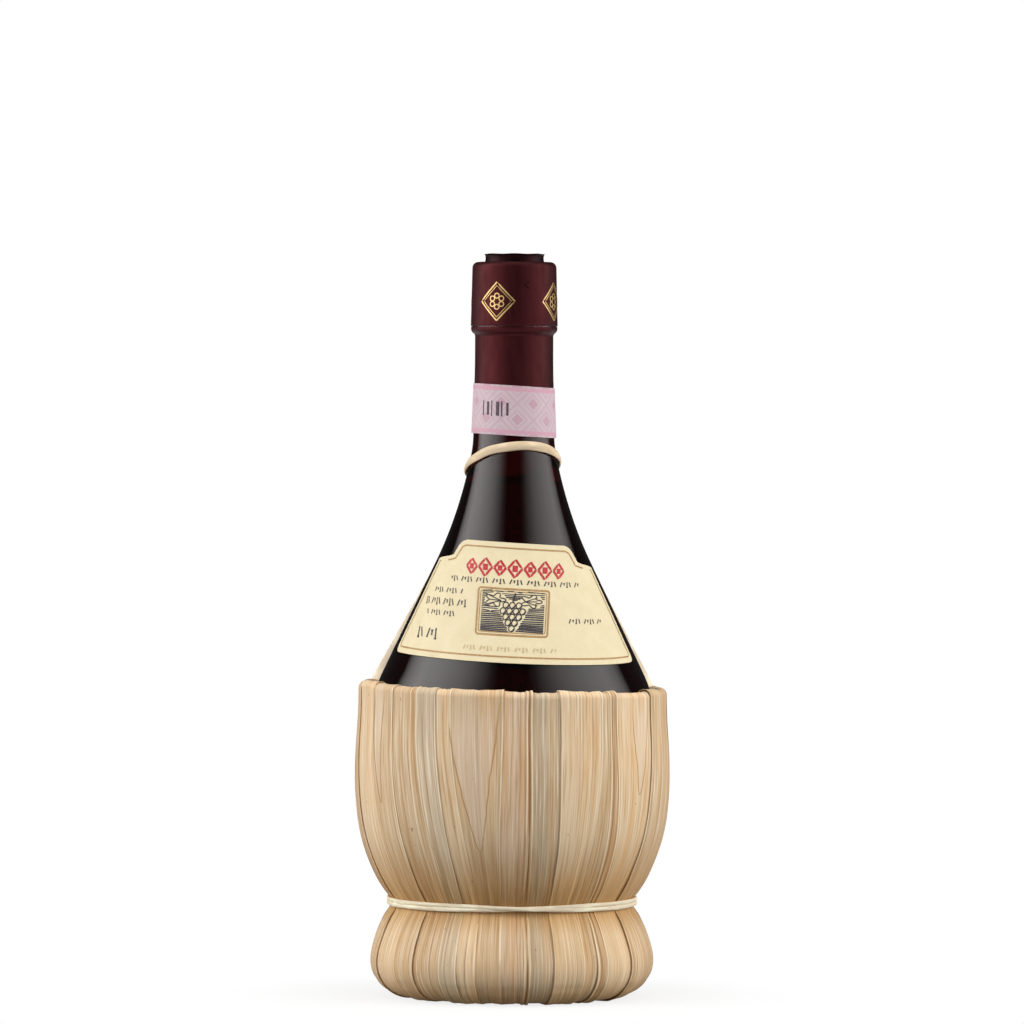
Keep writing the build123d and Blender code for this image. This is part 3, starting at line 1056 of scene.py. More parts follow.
@dataclass(frozen=True)
class LeafFinish(Finish):
    """Dried sedge leaf, whose own marks give its tone, crease, width, age and grain figure."""

    roughness: float = 0.62
    tones: tuple = (
        (0.82, 0.615, 0.385),
        (0.62, 0.425, 0.23),
        (0.68, 0.49, 0.285),
        (0.62, 0.49, 0.33),
        (0.74, 0.54, 0.36),
        (0.44, 0.285, 0.145),
    )
    name: str = "sedge_leaf"

    def dress(self, wiring: Wiring) -> None:
        """Wires the leaf's colours, fibres, stained lines, painted highlights and shadow lines along its
        edges, specks, a darker tint towards the bottom and painted shade above the waist.

        Args:
            wiring: wiring of the material.
        """
        marks = wiring.mark("marks")
        tone, crease, width = wiring.parts(marks.outputs["Color"])
        age = marks.outputs["Alpha"]
        uv = wiring.chart()
        across = wiring.split(wiring.times(uv, 1000.0, 1000.0, 1000.0))[0]
        height = wiring.product(wiring.split(wiring.where())[2], 1000.0)
        shift = wiring.math("MULTIPLY_ADD", age, 3.7, wiring.product(tone, 1.9))
        apart = wiring.add("CombineXYZ", {0: shift, 1: shift, 2: shift}).outputs[0]
        own = wiring.add("VectorMath", {0: uv, 1: apart}, operation="ADD").outputs[0]
        shade, strands = SharedEffect.FIBRES.place(wiring, own, 1.0)
        stops = [(place.value, colour) for place, colour in zip(LeafTone, self.tones)]
        colour = wiring.ramp(tone, stops)
        colour = self._grain(wiring, colour, own, shade)
        colour = self._lines(wiring, colour, own, across, crease, width, age)
        colour = self._figure(wiring, colour, own, across, height)
        specks = wiring.span(wiring.noise(wiring.times(own, 1.0, 0.6), 420, 2, 0.6), 0.735, 0.775)
        colour = wiring.mix(wiring.product(specks, 0.75), colour, (0.12, 0.06, 0.025))
        # Darker, warmer tint towards the bottom, and painted shade on the lower belly just above the waist,
        # fading upwards and weak below the waist.
        low = wiring.span(height, 1.0, 11.0, 0.7, 0.0)
        waist = wiring.span(height, 34.0, 60.0, 0.85, 0.0)
        waist = wiring.product(waist, wiring.span(height, 22.0, 32.0, 0.15, 1.0))
        painted_waist_shade_and_low_dark = wiring.math("MAXIMUM", low, waist)
        colour = wiring.mix(painted_waist_shade_and_low_dark, colour, wiring.tinted(colour, (0.73, 0.55, 0.3)))
        wiring.coat("Base Color", colour)
        rough = wiring.span(shade, 0.3, 0.7, self.roughness + 0.14, self.roughness - 0.06)
        wiring.coat("Roughness", rough)
        wiring.coat("Specular IOR Level", 0.35)
        wiring.coat("Normal", wiring.relief(strands, 0.16, 0.85))

    def _grain(self, wiring: Wiring, colour: Socket, own: Socket, shade: Socket) -> Socket:
        """Quiet fibres and broad soft stripes.

        Args:
            wiring: wiring of the material.
            colour: the leaf's tone.
            own: coordinates of the leaf.
            shade: shade of its fibres.

        Returns:
            The colour with its grain.
        """
        dark = wiring.tinted(colour, (0.9, 0.83, 0.74))
        light = wiring.mix(0.3, colour, (0.9, 0.79, 0.62))
        colour = wiring.mix(wiring.span(shade, 0.3, 0.72), dark, light)
        stripe = wiring.noise(wiring.times(own, 1.0, 0.03), 330, 2, 0.45)
        warm = wiring.tinted(colour, (1.0, 0.86, 0.7))
        colour = wiring.mix(wiring.span(stripe, 0.5, 0.72, 0.0, 0.8), colour, warm)
        fine = wiring.noise(wiring.times(own, 1.0, 0.014), 2100, 2, 0.6)
        deep = wiring.tinted(colour, (0.74, 0.66, 0.55))
        colour = wiring.mix(wiring.span(fine, 0.53, 0.66, 0.0, 0.8), colour, deep)
        colour = wiring.mix(wiring.span(fine, 0.46, 0.32, 0.0, 0.6), colour, (0.93, 0.83, 0.66))
        patch = wiring.noise(wiring.times(own, 1.0, 0.25), 90, 3)
        cool = wiring.tinted(colour, (0.93, 0.94, 0.94))
        return wiring.mix(wiring.span(patch, 0.5, 0.7, 0.0, 0.75), colour, cool)

    def _lines(
        self,
        wiring: Wiring,
        colour: Socket,
        own: Socket,
        across: Socket,
        crease: Socket,
        width: Socket,
        age: Socket,
    ) -> Socket:
        """Painted shadow lines and painted highlights along the edges, stained lines beside them, a stained
        crease and a few fine veins.

        Args:
            wiring: wiring of the material.
            colour: the leaf's colour.
            own: coordinates of the leaf.
            across: distance from its left edge in mm.
            crease: where the crease lies in mm.
            width: the leaf's width in mm.
            age: how stained it is.

        Returns:
            The colour with its lines.
        """
        broken = wiring.noise(wiring.times(own, 0.4, 0.2), 160, 3)
        swing = wiring.math("MULTIPLY_ADD", broken, 0.5, -0.25)
        edge = wiring.math("MINIMUM", across, wiring.math("SUBTRACT", width, across))
        # Painted highlight: a pale line just inside each edge, standing in for light caught by the lifted
        # leaf edge.
        lit = wiring.span(wiring.apart(edge, 0.42), 0.08, 0.26, 1.0, 0.0)
        lit = wiring.product(lit, wiring.span(broken, 0.4, 0.58, 0.25, 0.9))
        colour = wiring.mix(lit, colour, (0.92, 0.8, 0.6))
        inner = wiring.apart(wiring.math("ADD", edge, swing), 1.05)
        stain = wiring.product(wiring.span(inner, 0.05, 0.3, 0.75, 0.0), wiring.span(broken, 0.47, 0.6))
        colour = wiring.mix(wiring.product(stain, age), colour, (0.34, 0.17, 0.06))
        # Painted shadow: a dark line at the very edge, standing in for the shade in the gap beside the
        # neighbouring leaf.
        rim = wiring.span(edge, 0.06, 0.24, 1.0, 0.0)
        rim = wiring.product(rim, wiring.span(broken, 0.54, 0.4, 0.0, 0.5))
        colour = wiring.mix(rim, colour, (0.2, 0.11, 0.045))
        at = wiring.apart(wiring.math("ADD", across, swing), crease)
        fold = wiring.span(at, 0.05, 0.34, 0.9, 0.0)
        fold = wiring.product(fold, wiring.span(broken, 0.36, 0.55, 0.2, 1.0))
        colour = wiring.mix(wiring.product(fold, age), colour, (0.33, 0.17, 0.065))
        veins = wiring.noise(wiring.times(own, 1.0, 0.02), 760, 1)
        veins = wiring.product(wiring.span(veins, 0.64, 0.7, 0.0, 0.5), age)
        return wiring.mix(veins, colour, (0.4, 0.23, 0.1))

    def _figure(self, wiring: Wiring, colour: Socket, own: Socket, across: Socket, height: Socket) -> Socket:
        """Two brown legs that run together downwards, paler between them.

        Args:
            wiring: wiring of the material.
            colour: the leaf's colour.
            own: coordinates of the leaf.
            across: distance from its left edge in mm.
            height: height on the basket in mm.

        Returns:
            The colour with the figure.
        """
        figure = wiring.mark("figure")
        middle, tip, top = wiring.parts(figure.outputs["Color"])
        rise = wiring.math("DIVIDE", wiring.math("SUBTRACT", height, tip), wiring.math("SUBTRACT", top, tip))
        share = wiring.math("MAXIMUM", rise, 0.0)
        leg = wiring.product(wiring.math("POWER", share, 0.62), figure.outputs["Alpha"])
        waver = wiring.math("MULTIPLY_ADD", wiring.noise(wiring.times(own, 0.3, 1.0), 90, 2), 1.6, -0.8)
        off = wiring.apart(wiring.math("ADD", across, waver), middle)
        near = wiring.apart(off, leg)
        above = wiring.span(rise, 0.0, 0.03)
        fade = wiring.product(above, wiring.span(rise, 0.8, 1.25, 1.0, 0.0))
        inside = wiring.product(wiring.span(wiring.math("SUBTRACT", leg, off), 0.0, 1.2), fade)
        colour = wiring.mix(wiring.product(inside, 0.34), colour, (0.76, 0.62, 0.5))
        line = wiring.product(wiring.span(near, 0.08, 0.42, 0.85, 0.0), fade)
        return wiring.mix(line, colour, (0.42, 0.22, 0.08))


@dataclass(frozen=True)
class FibreFinish(Finish):
    """Raffia and twine: fibres along the strand."""

    colour: Colour = (0.7, 0.55, 0.37)
    shadow: Colour = (0.56, 0.4, 0.23)
    roughness: float = 0.55
    twist: float = 0.0
    name: str = "raffia_fibre"

    def dress(self, wiring: Wiring) -> None:
        """Wires the strand's fibres, slanted by its twist.

        Args:
            wiring: wiring of the material.
        """
        uv = wiring.chart()
        across, along, _ = wiring.split(uv)
        slanted = wiring.math("MULTIPLY_ADD", along, self.twist, across)
        own = wiring.add("CombineXYZ", {0: slanted, 1: along, 2: 0.0}).outputs[0]
        shade, strands = SharedEffect.FIBRES.place(wiring, own, 1.2)
        tone = wiring.span(shade, 0.33, 0.66)
        patch = wiring.noise(own, 90, 2)
        colour = wiring.mix(tone, self.shadow, self.colour)
        pale = tuple(min(c * 1.25, 1) for c in self.colour)
        colour = wiring.mix(wiring.span(patch, 0.45, 0.75), colour, pale)
        wiring.coat("Base Color", colour)
        wiring.coat("Roughness", wiring.span(tone, 0, 1, self.roughness + 0.15, self.roughness))
        wiring.coat("Normal", wiring.relief(strands, 0.2, 0.8))


# Flask and wine.


@dataclass
class Flask:
    """Glass flask with its wine and cork. Sizes in mm."""

    belly_radius: float = 52.5
    belly_height: float = 79.0
    bottom_depth: float = 68.5
    neck_radius: float = 13.15
    neck_start: float = 222.0
    mouth_height: float = 252.85
    wall: float = 2.1
    bottom_wall: float = 2.8
    bore_radius: float = 9.25
    bore_low: float = 206.65
    mouth_edge: float = 0.7
    lip_radius: float = 14.55
    lip_top_radius: float = 14.05
    lip_round: float = 1.6
    lip_foot: float = 227.6
    lip_side: float = 230.4
    fill_height: float = 176.6
    wetting: float = 0.1
    shoulder: tuple = (
        (0.234, 0.802, 25.6),
        (0.4965, 0.3435, 25.6),
        (0.748, 0.043, 11.3),
        (0.797, 0.0213, 1.7),
    )
    outside: Outline = field(init=False)
    inside: Outline = field(init=False)

    def __post_init__(self) -> None:
        """Draws both outlines."""
        lip_top = self.mouth_height - self.lip_round
        lean = math.degrees(math.atan((self.lip_radius - self.lip_top_radius) / (lip_top - self.lip_side)))
        self.outside = Outline(
            [
                *self._bowl(self.belly_radius, self.bottom_depth),
                *self._shoulder(self.neck_radius, self.belly_radius, self.neck_start),
                Stop(self.neck_radius, self.neck_start, 0),
                Stop(self.neck_radius, self.lip_foot, 0),
                Stop(self.lip_radius, self.lip_side, lean),
                Stop(self.lip_top_radius, lip_top, lean),
                Stop(self.lip_top_radius - self.lip_round, self.mouth_height, 90),
            ]
        )
        self.inside = Outline(
            [
                *self._bowl(self.belly_radius - self.wall, self.bottom_depth - self.bottom_wall),
                *self._shoulder(self.bore_radius, self.belly_radius - self.wall, self.bore_low - 4),
                Stop(self.bore_radius, self.bore_low, 0),
            ]
        )

    def _bowl(self, radius: float, depth: float) -> list[Stop]:
        """Stops of the round bottom up to the belly.

        Args:
            radius: radius at the belly.
            depth: depth below it.

        Returns:
            The stops from the axis up.
        """
        stops = []
        for angle in (0, 30, 60, 90):
            turn = math.radians(angle)
            run = Vector((radius * math.cos(turn), depth * math.sin(turn)))
            lean = math.degrees(math.atan2(-run.x, run.y))
            stops.append(Stop(radius * math.sin(turn), self.belly_height - depth * math.cos(turn), lean))
        return stops

    def _shoulder(self, top: float, side: float, limit: float) -> list[Stop]:
        """Stops of the shoulder between two radii, below a height.

        Args:
            top: radius of the neck.
            side: radius of the belly.
            limit: height that it stays below.

        Returns:
            The stops upwards.
        """
        stops = []
        reach = side - top
        for height_share, reach_share, lean in self.shoulder:
            height = self.belly_height + height_share * (self.neck_start - self.belly_height)
            slope = math.tan(math.radians(lean)) * reach / (self.belly_radius - self.neck_radius)
            if height < limit:
                stops.append(Stop(top + reach_share * reach, height, math.degrees(math.atan(slope))))
        return stops

    def make_glass(self) -> Piece:
        """Flask of blown glass, open at its mouth.

        Returns:
            The object.
        """
        outline = self.outside.moved(0.0)
        outline.append((self.bore_radius + self.mouth_edge, self.mouth_height))
        outline.append((self.bore_radius, self.mouth_height - self.mouth_edge))
        outline += reversed(self.inside.moved(0.0))
        obj = turned("flask_glass", outline, 256)
        Bench.smooth(obj, 50)
        return obj

    def make_wine(self) -> Piece:
        """Wine that wets the glass, with a raised rim where it meets it.

        Returns:
            The object.
        """
        outline = [p for p in self.inside.moved(self.wetting) if p[1] < self.fill_height - 0.4]
        edge = self.inside.radius_at(self.fill_height) + self.wetting
        outline += [(edge, self.fill_height + 0.5), (edge - 0.5, self.fill_height + 0.16)]
        outline += [(edge - 1.4, self.fill_height), (0.0, self.fill_height)]
        obj = turned("wine_fill", outline, 192)
        Bench.smooth(obj, 50)
        return obj

    def build(self) -> None:
        GlassFinish().declare(self.make_glass(), "flask", "glass", "flask")
        WineFinish().declare(self.make_wine(), "flask", "wine", "wine")
        CorkFinish().on(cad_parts["cork"])
        log.info("flask: glass, wine and cork")


# Capsule.


@dataclass
class Capsule:
    """Shrink capsule in two lengths with its top disc and gold print. Sizes in mm."""

    flask: Flask
    film: float = 0.4
    clearance: float = 0.05
    skirt_film: float = 0.3
    cut_height: float = 231.0
    cut_gap: float = 0.2
    skirt_low: float = 195.0
    disc_radius: float = 10.4
    disc_waist: float = 10.1
    disc_height: float = 2.8
    disc_rim: tuple = ((0.0, 0.32), (0.08, 0.12), (0.35, 0.0), (0.8, 0.05), (1.3, 0.42), (2.2, 0.5))
    disc_wave: float = 0.07
    print_film: float = 0.03
    print_lift: float = 0.04
    print_middle: float = 239.6
    print_turns: tuple = (-24, 66, 156, 246)
    frame_half: Pair = (6.3, 6.6)
    petals: int = 6
    petal_reach: float = 1.9
    petal_radius: float = 0.85

    def make_cap(self) -> Piece:
        """Cap over the lip with a softly rounded shoulder.

        Returns:
            The object.
        """
        outside = self.flask.outside
        low = self.cut_height + self.cut_gap
        top = self.flask.mouth_height + self.clearance + self.film
        points = [p for p in outside.moved(self.clearance + self.film) if p[1] > low]
        inner = [p for p in outside.moved(self.clearance) if p[1] > low]
        rim = outside.radius_at(low) + self.clearance
        outline = [(0.0, top - self.film), *reversed(inner), (rim, low), (rim + self.film * 0.8, low)]
        outline += [(rim + self.film, low + 0.15), *points, (0.0, top)]
        obj = turned("capsule_cap_film", outline)
        Bench.smooth(obj, 35)
        return obj

    def make_skirt(self) -> Piece:
        """Sleeve shrunk on the neck.

        Returns:
            The object.
        """
        outside = self.flask.outside
        low, high = self.skirt_low, self.cut_height
        near, far = self.clearance, self.clearance + self.skirt_film
        inner, outer = (
            [p for p, at in zip(outside.moved(out), outside.points) if low < at.y < high]
            for out in (near, far)
        )
        outline = [
            (outside.radius_at(low) + near, low),
            (outside.radius_at(low) + far, low),
            *outer,
            (outside.radius_at(high) + far, high),
            (outside.radius_at(high) + near, high),
            *reversed(inner),
            (outside.radius_at(low) + near, low),
        ]
        obj = turned("capsule_skirt_film", outline)
        Bench.smooth(obj, 35)
        return obj

    def make_disc(self) -> Piece:
        """Raised top disc: drawn-in neck, flared and slightly wavy rim, dished top.

        Returns:
            The object.
        """
        low = self.flask.mouth_height + self.clearance + self.film
        top = low + self.disc_height
        outline = [(0.0, low - 0.05), (self.disc_radius - 0.2, low - 0.05)]
        for step in range(9):
            share = step / 8
            draw = math.sin(math.pi * (share * 0.75 + 0.1)) * (self.disc_radius - self.disc_waist)
            outline.append((self.disc_radius - 0.1 - draw, low + share * (self.disc_height - 0.4)))
        outline += [(self.disc_radius - inwards, top - down) for inwards, down in self.disc_rim]
        outline.append((0.0, top - 0.45))
        obj = turned("capsule_disc_film", outline, 144)
        for vertex in obj.data.vertices:
            reach = math.hypot(vertex.co.x, vertex.co.y) / MM
            turn = math.atan2(vertex.co.y, vertex.co.x)
            if reach > 8:
                grow = 0.006 * math.sin(5 * turn + 0.6) + 0.004 * math.sin(11 * turn)
                vertex.co.x *= 1 + grow
                vertex.co.y *= 1 + grow
                if vertex.co.z / MM > top - 0.6:
                    vertex.co.z += self.disc_wave * MM * math.sin(7 * turn)
        Bench.smooth(obj, 60)
        return obj

    def _on_cap(self, length: float, height: float) -> Vector:
        """Point just over the film at an arc length round the lip and a height in mm."""
        reach = self.flask.outside.radius_at(height) + self.clearance + self.film + self.print_lift
        return around(reach, math.degrees(length / self.flask.lip_radius), height)

    def _printed(self, name: str, lines: Sequence[tuple[Sequence[Pair], float]]) -> Piece:
        """Lines printed on the film as one piece.

        Args:
            name: name of the piece.
            lines: points and width of each line in mm.

        Returns:
            The object.
        """
        obj = Bench.joined(name, [stroke(points, width, self._on_cap) for points, width in lines])
        Bench.close(obj, outwards=False)
        Bench.thicken(obj, self.print_film, 1.0)
        return obj

    def make_print(self) -> Piece:
        """Four lozenge frames, each with a small rosette.

        Returns:
            The object.
        """
        lines = []
        middle, petals = self.print_middle, self.petals
        for turn in self.print_turns:
            at = math.radians(turn) * self.flask.lip_radius
            for size, width in ((1.0, 0.5), (0.82, 0.22)):
                wide, tall = self.frame_half[0] * size, self.frame_half[1] * size
                corners = [(at, middle - tall), (at + wide, middle), (at, middle + tall), (at - wide, middle)]
                lines.append((chain([*corners, corners[0]], 6), width))
            for petal in range(petals):
                lean = math.tau * petal / petals
                x, y = at + self.petal_reach * math.sin(lean), middle + self.petal_reach * math.cos(lean)
                lines.append((oval((x, y), (self.petal_radius, self.petal_radius), 12), 0.38))
        return self._printed("capsule_gold_print", lines)

    def make_vent(self) -> Piece:
        """Small pierced vent mark: two short nicks that meet."""
        ends = ((5.2, 246.5), (5.2, 243.9))
        return self._printed("capsule_vent", [(straight((3.6, 245.2), end, 4), 0.28) for end in ends])

    def build(self) -> None:
        film = FilmFinish()
        dark = FilmFinish(colour=(0.014, 0.003, 0.004), roughness=0.42, name="dark_disc_film")
        pierced = FilmFinish(colour=(0.01, 0.002, 0.004), name="pierced_film")
        film.declare(self.make_cap(), "capsule", "capsule", "capsule_cap")
        film.declare(self.make_skirt(), "flask", "capsule", "capsule_skirt")
        dark.declare(self.make_disc(), "capsule", "capsule", "capsule_top_disc")
        FoilFinish().declare(self.make_print(), "capsule", "capsule")
        pierced.declare(self.make_vent(), "capsule", "capsule")
        log.info("capsule: cap, skirt, disc, gold print and vent")


# Papers.


@dataclass
class SealBand:
    """Pink paper band round the neck, a little askew. Sizes in mm."""

    flask: Flask
    middle: float = 202.1
    width: float = 17.2
    roll: float = 3.5
    under: float = 0.45
    paper: float = 0.25
    radius: float = 13.9
    bars: tuple = ((0.5, 5.2), (1.0, 4.6), (0.4, 5.4), (1.2, 4.8), (0.5, 5.2), (0.8, 4.4))
    bars_start: float = 0.368
    bars_pitch: float = 0.0205
    bars_middle: float = 0.52
    bars_lift: float = 0.03
    ink: float = 0.02

    def _place(self, across: float, along: float) -> Vector:
        """Point on the band's outer face.

        Args:
            across: share of the way round, from the back.
            along: share of its width, upwards.

        Returns:
            The point in metres.
        """
        degrees = 360 * across + 180
        slope = math.tan(math.radians(self.roll))
        lift = self.width * (along - 0.5)
        radius = self.flask.outside.radius_at(self.middle)
        height = self.middle + lift - slope * radius * math.sin(math.radians(degrees))
        out = self.under + self.paper + 0.05 * wander(across * 14, along * 2, 3.3)
        lap = 0.2 * eased(across, 0.965, 0.99)
        return around(self.flask.outside.radius_at(height) + out + lap, degrees, height)

    def build(self) -> None:
        band = laid("seal_band_paper", 192, 16, self._place, (math.tau * self.radius, self.width))
        Bench.thicken(band, self.paper)
        Bench.smooth(band, 35)
        SealFinish(width=self.width).declare(band, "flask", "pink_paper", "seal_band")
        bars = [self._bar(index, *size) for index, size in enumerate(self.bars)]
        printed = Bench.joined("seal_band_bars", bars)
        Bench.thicken(printed, self.ink, 1.0)
        InkFinish(colour=(0.06, 0.035, 0.05), name="dark_ink").declare(printed, "flask", "pink_paper")
        log.info("seal band: paper and bars")

    def _bar(self, index: int, width: float, height: float) -> Piece:
        """Plain upright bar of the row left of the middle.

        Args:
            index: its place in the row.
            width: its width in mm.
            height: its height in mm.

        Returns:
            The object, without thickness.
        """
        start = self.bars_start + index * self.bars_pitch

        def place(across: float, along: float) -> Vector:
            """Point at the shares across and along the bar."""
            share = start + across * width / (math.tau * self.radius)
            point = self._place(share, self.bars_middle + (along - 0.5) * height / self.width)
            return point + flat_way(point) * self.bars_lift * MM

        return laid("bar", 2, 2, place)


@dataclass
class FrontLabel:
    """Cream paper label on the shoulder with its border and ornament. Sizes in mm."""

    flask: Flask
    low: float = 117.6
    shoulder: float = 151.3
    top: float = 156.8
    half_angle: float = 73.5
    tab_half_angle: float = 54.0
    top_half_angle: float = 49.5
    corner: float = 2.4
    roll: float = 3.5
    bow: float = 1.2
    skew: float = 0.9
    under: float = 0.1
    paper: float = 0.25
    print_lift: float = 0.06
    ink: float = 0.02
    border_inset: float = 1.9
    picture_half: float = 12.2
    picture_low: float = 126.3
    picture_top: float = 141.3
    picture_corner: float = 0.8
    grape_rows: tuple = ((136.0, 3), (134.1, 4), (132.2, 3), (130.3, 2), (128.5, 1))
    leaf_middle: Pair = (6.1, 137.6)
    side_rows: tuple = (
        (-33.0, -18.5, 139.5, 0.85, 1.3),
        (-36.5, -17.0, 135.7, 1.15, 1.3),
        (-34.5, -19.5, 132.0, 0.85, 1.3),
        (20.2, 34.6, 131.7, 0.8, 1.25),
        (-38.0, -27.5, 125.2, 1.7, 1.9),
        (-23.6, 23.6, 143.7, 0.85, 1.18),
    )
    low_row: tuple = (-16.0, 16.0, 121.9, 0.75, 1.2)

    def half(self, height: float, inset: float = 0.0) -> float:
        """Half width of the label as an angle, inside an inset from its outline.

        Args:
            height: height in the label's own frame.
            inset: distance kept from the outline in mm.

        Returns:
            Degrees from the label's middle.
        """
        radius = self.flask.outside.radius_at(height)
        step_low, step_high = self.shoulder - 1.6 - inset * 0.4, self.shoulder - inset * 0.75
        if height <= step_low:
            angle = self.half_angle
        elif height <= step_high:
            share = eased(height, step_low, step_high)
            angle = self.half_angle + (self.tab_half_angle - self.half_angle) * share
        else:
            share = (height - step_high) / (self.top - step_high)
            angle = self.tab_half_angle + (self.top_half_angle - self.tab_half_angle) * share
        corner = max(self.corner - inset * 0.6, 0.5)

        def trim(depth: float) -> float:
            """What the rounded corner takes at a depth inside the edge."""
            return corner - math.sqrt(max(corner**2 - (corner - depth) ** 2, 0)) if depth < corner else 0.0

        trims = trim(height - self.low - inset) + trim(self.top - inset - height)
        return angle - math.degrees((inset + trims) / radius)

    def on(self, degrees: float, height: float, out: float) -> Vector:
        """Point over the glass from the label's own angle and height.

        Args:
            degrees: angle from the label's middle.
            height: height before the label's roll.
            out: distance from the glass in mm.

        Returns:
            The point in metres.
        """
        radius = self.flask.outside.radius_at(height)
        middle = (self.low + self.top) / 2
        side, rise = degrees / self.half_angle, (height - self.low) / (self.top - self.low)
        sag = self.bow * (1 - side * side) - self.skew * side
        height -= sag * max(1 - rise, 0.0) ** 2
        turn, roll = math.radians(degrees), math.radians(self.roll)
        x, y, z = radius * math.sin(turn), radius * math.cos(turn), height - middle
        rolled_x = x * math.cos(roll) + z * math.sin(roll)
        rolled_z = middle - x * math.sin(roll) + z * math.cos(roll)
        point, normal = self.flask.outside.at(self.flask.outside.length_at(rolled_z))
        side = math.degrees(math.atan2(rolled_x, y))
        return around(point.x + normal.x * out, side, point.y + normal.y * out)

    def _face(self, degrees: float, height: float, lift: float = 0.0) -> Vector:
        """Point over the paper's outer face.

        Args:
            degrees: angle from the label's middle.
            height: height in the label's own frame.
            lift: distance from the face in mm.

        Returns:
            The point in metres.
        """
        across = degrees / (2 * self.half(height)) + 0.5
        along = (height - self.low) / (self.top - self.low)
        swell = 0.06 * wander(across * 5, along * 3, 7.7)
        return self.on(degrees, height, self.under + self.paper + swell + lift)

    def _place(self, across: float, along: float) -> Vector:
        """Point on the paper's outer face at the shares across and along it."""
        height = self.low + (self.top - self.low) * along
        return self._face((2 * across - 1) * self.half(height), height)

    def _on_print(self, length: float, height: float) -> Vector:
        """Point just over the paper at an arc length from the middle and a height in mm."""
        degrees = math.degrees(length / self.flask.outside.radius_at(height))
        return self._face(degrees, height, self.print_lift)

    def stroke(self, points: Sequence[Pair], width: float) -> Piece:
        """Printed line through points, each an arc length from the middle and a height in mm."""
        return stroke(points, width, self._on_print)

    def _frame(self, inset: float) -> list[Pair]:
        """Points of the outline moved in by an inset, as arc lengths and heights.

        Args:
            inset: the inset in mm.

        Returns:
            The closed line.
        """
        low, high = self.low + inset, self.top - inset
        heights = [low + (high - low) * (step / 60) ** 1.15 for step in range(61)]
        right = [(math.radians(self.half(h, inset)) * self.flask.outside.radius_at(h), h) for h in heights]
        left = [(-x, h) for x, h in reversed(right)]
        bottom = straight(left[-1], right[0], 40)[1:-1]
        top = straight(right[-1], left[0], 24)[1:-1]
        return [*right, *top, *left, *bottom, right[0]]

    def _border(self) -> Piece:
        """Fine ochre line that follows the outline, with the picture's double frame.

        Returns:
            The object.
        """
        parts = [self.stroke(self._frame(self.border_inset), 0.5)]
        corner = self.picture_corner
        for inset, width in ((0.0, 0.62), (0.85, 0.3)):
            half, low, high = self.picture_half - inset, self.picture_low + inset, self.picture_top - inset
            points = []
            for x, y, start in ((half, high, 0), (-half, high, 90), (-half, low, 180), (half, low, 270)):
                middle = (x - math.copysign(corner, x), y - corner if y == high else y + corner)
                points += oval(middle, (corner, corner), 4, start, 90)
            points.append(points[0])
            fine = []
            for one, two in zip(points, points[1:]):
                long_run = abs(one[0] - two[0]) + abs(one[1] - two[1]) > 3
                fine += straight(one, two, 14 if long_run else 1)[:-1]
            parts.append(self.stroke([*fine, fine[0]], width))
        return Bench.joined("label_border", parts)

    def _lozenge(self, x: float, y: float, size: float, width: float) -> list[Piece]:
        """Printed lozenge with a filled middle."""
        wide = size * 0.8
        corners = [(x - wide, y), (x, y + size), (x + wide, y), (x, y - size), (x - wide, y)]
        middle = self.stroke(straight((x - size * 0.3, y), (x + size * 0.3, y), 3), size * 0.7)
        return [self.stroke(chain(corners, 4), width), middle]

    def _row(self, start: float, end: float, height: float, size: float, pitch: float) -> list[Piece]:
        """Row of small ornaments: short uprights, dots and slanted dashes, with gaps between them.

        Args:
            start: arc length where it starts in mm.
            end: arc length where it ends.
            height: height of its middle.
            size: half the height of an upright.
            pitch: distance from ornament to ornament.

        Returns:
            Its strokes.
        """
        parts = []
        for index in range(int(abs(end - start) / pitch) + 1):
            x = start + index * pitch
            kind = (index * 7 + int(height)) % 5
            if kind == 4:
                continue
            lean = (0.0, 0.35, -0.3, 0.0)[kind] * size
            tall = (1.0, 0.9, 0.9, 0.45)[kind] * size
            upright = straight((x - lean, height - tall), (x + lean, height + tall), 2)
            parts.append(self.stroke(upright, pitch * 0.34))
            if kind in (0, 3):
                at = height - tall if kind == 0 else height + tall
                bar = straight((x - pitch * 0.3, at), (x + pitch * 0.3, at), 2)
                parts.append(self.stroke(bar, size * 0.34))
        return parts

    def _ornament(self) -> Piece:
        """Row of seven lozenges across the top, large and small by turns.

        Returns:
            The object.
        """
        parts = []
        for index in range(-3, 4):
            parts += self._lozenge(index * 5.15, 148.1, 2.5 if index % 2 else 3.0, 0.8)
        return Bench.joined("label_ornament", parts)

    def _on_picture(self, x: float, y: float) -> bool:
        """Whether the bunch of grapes or one of its leaves covers a point of the picture.

        Args:
            x: arc length from the middle in mm.
            y: height in mm.

        Returns:
            Whether the point is covered.
        """
        half = 5.2 * min(max((y - 126.6) / 8.5, 0.0), 1.0) ** 0.7
        if y < self.leaf_middle[1] and abs(x) < half:
            return True
        across, up = self.leaf_middle
        return any(((x - side * across) / 3.9) ** 2 + ((y - up) / 2.4) ** 2 < 1 for side in (-1, 1))

    def _hatching(self) -> list[Piece]:
        """Black ground of the picture, cut in lines that swell and thin, open round the grapes.

        Returns:
            Its strokes.
        """
        parts = []
        lines, pitch, low, steps, half = 23, 0.585, 127.6, 44, 10.7
        for index in range(lines):
            height = low + index * pitch
            begin = None
            for step in range(steps + 1):
                x = -half + step * 2 * half / steps
                wave = height + 0.22 * math.sin(x * 0.9 + index * 0.4)
                worn = height > 134 and wander(x * 0.5, height * 0.9, 3.0) > 0.42
                covered = self._on_picture(x, wave) or worn
                if not covered and begin is None:
                    begin = (x, wave)
                if begin is not None and (covered or step == steps):
                    if x - begin[0] > 0.8:
                        width = 0.42 if height < 133 else 0.3
                        width += 0.16 * abs(wander(begin[0], height, 1.0))
                        parts.append(self.stroke(straight(begin, (x, wave), 5), width))
                    begin = None
        return parts

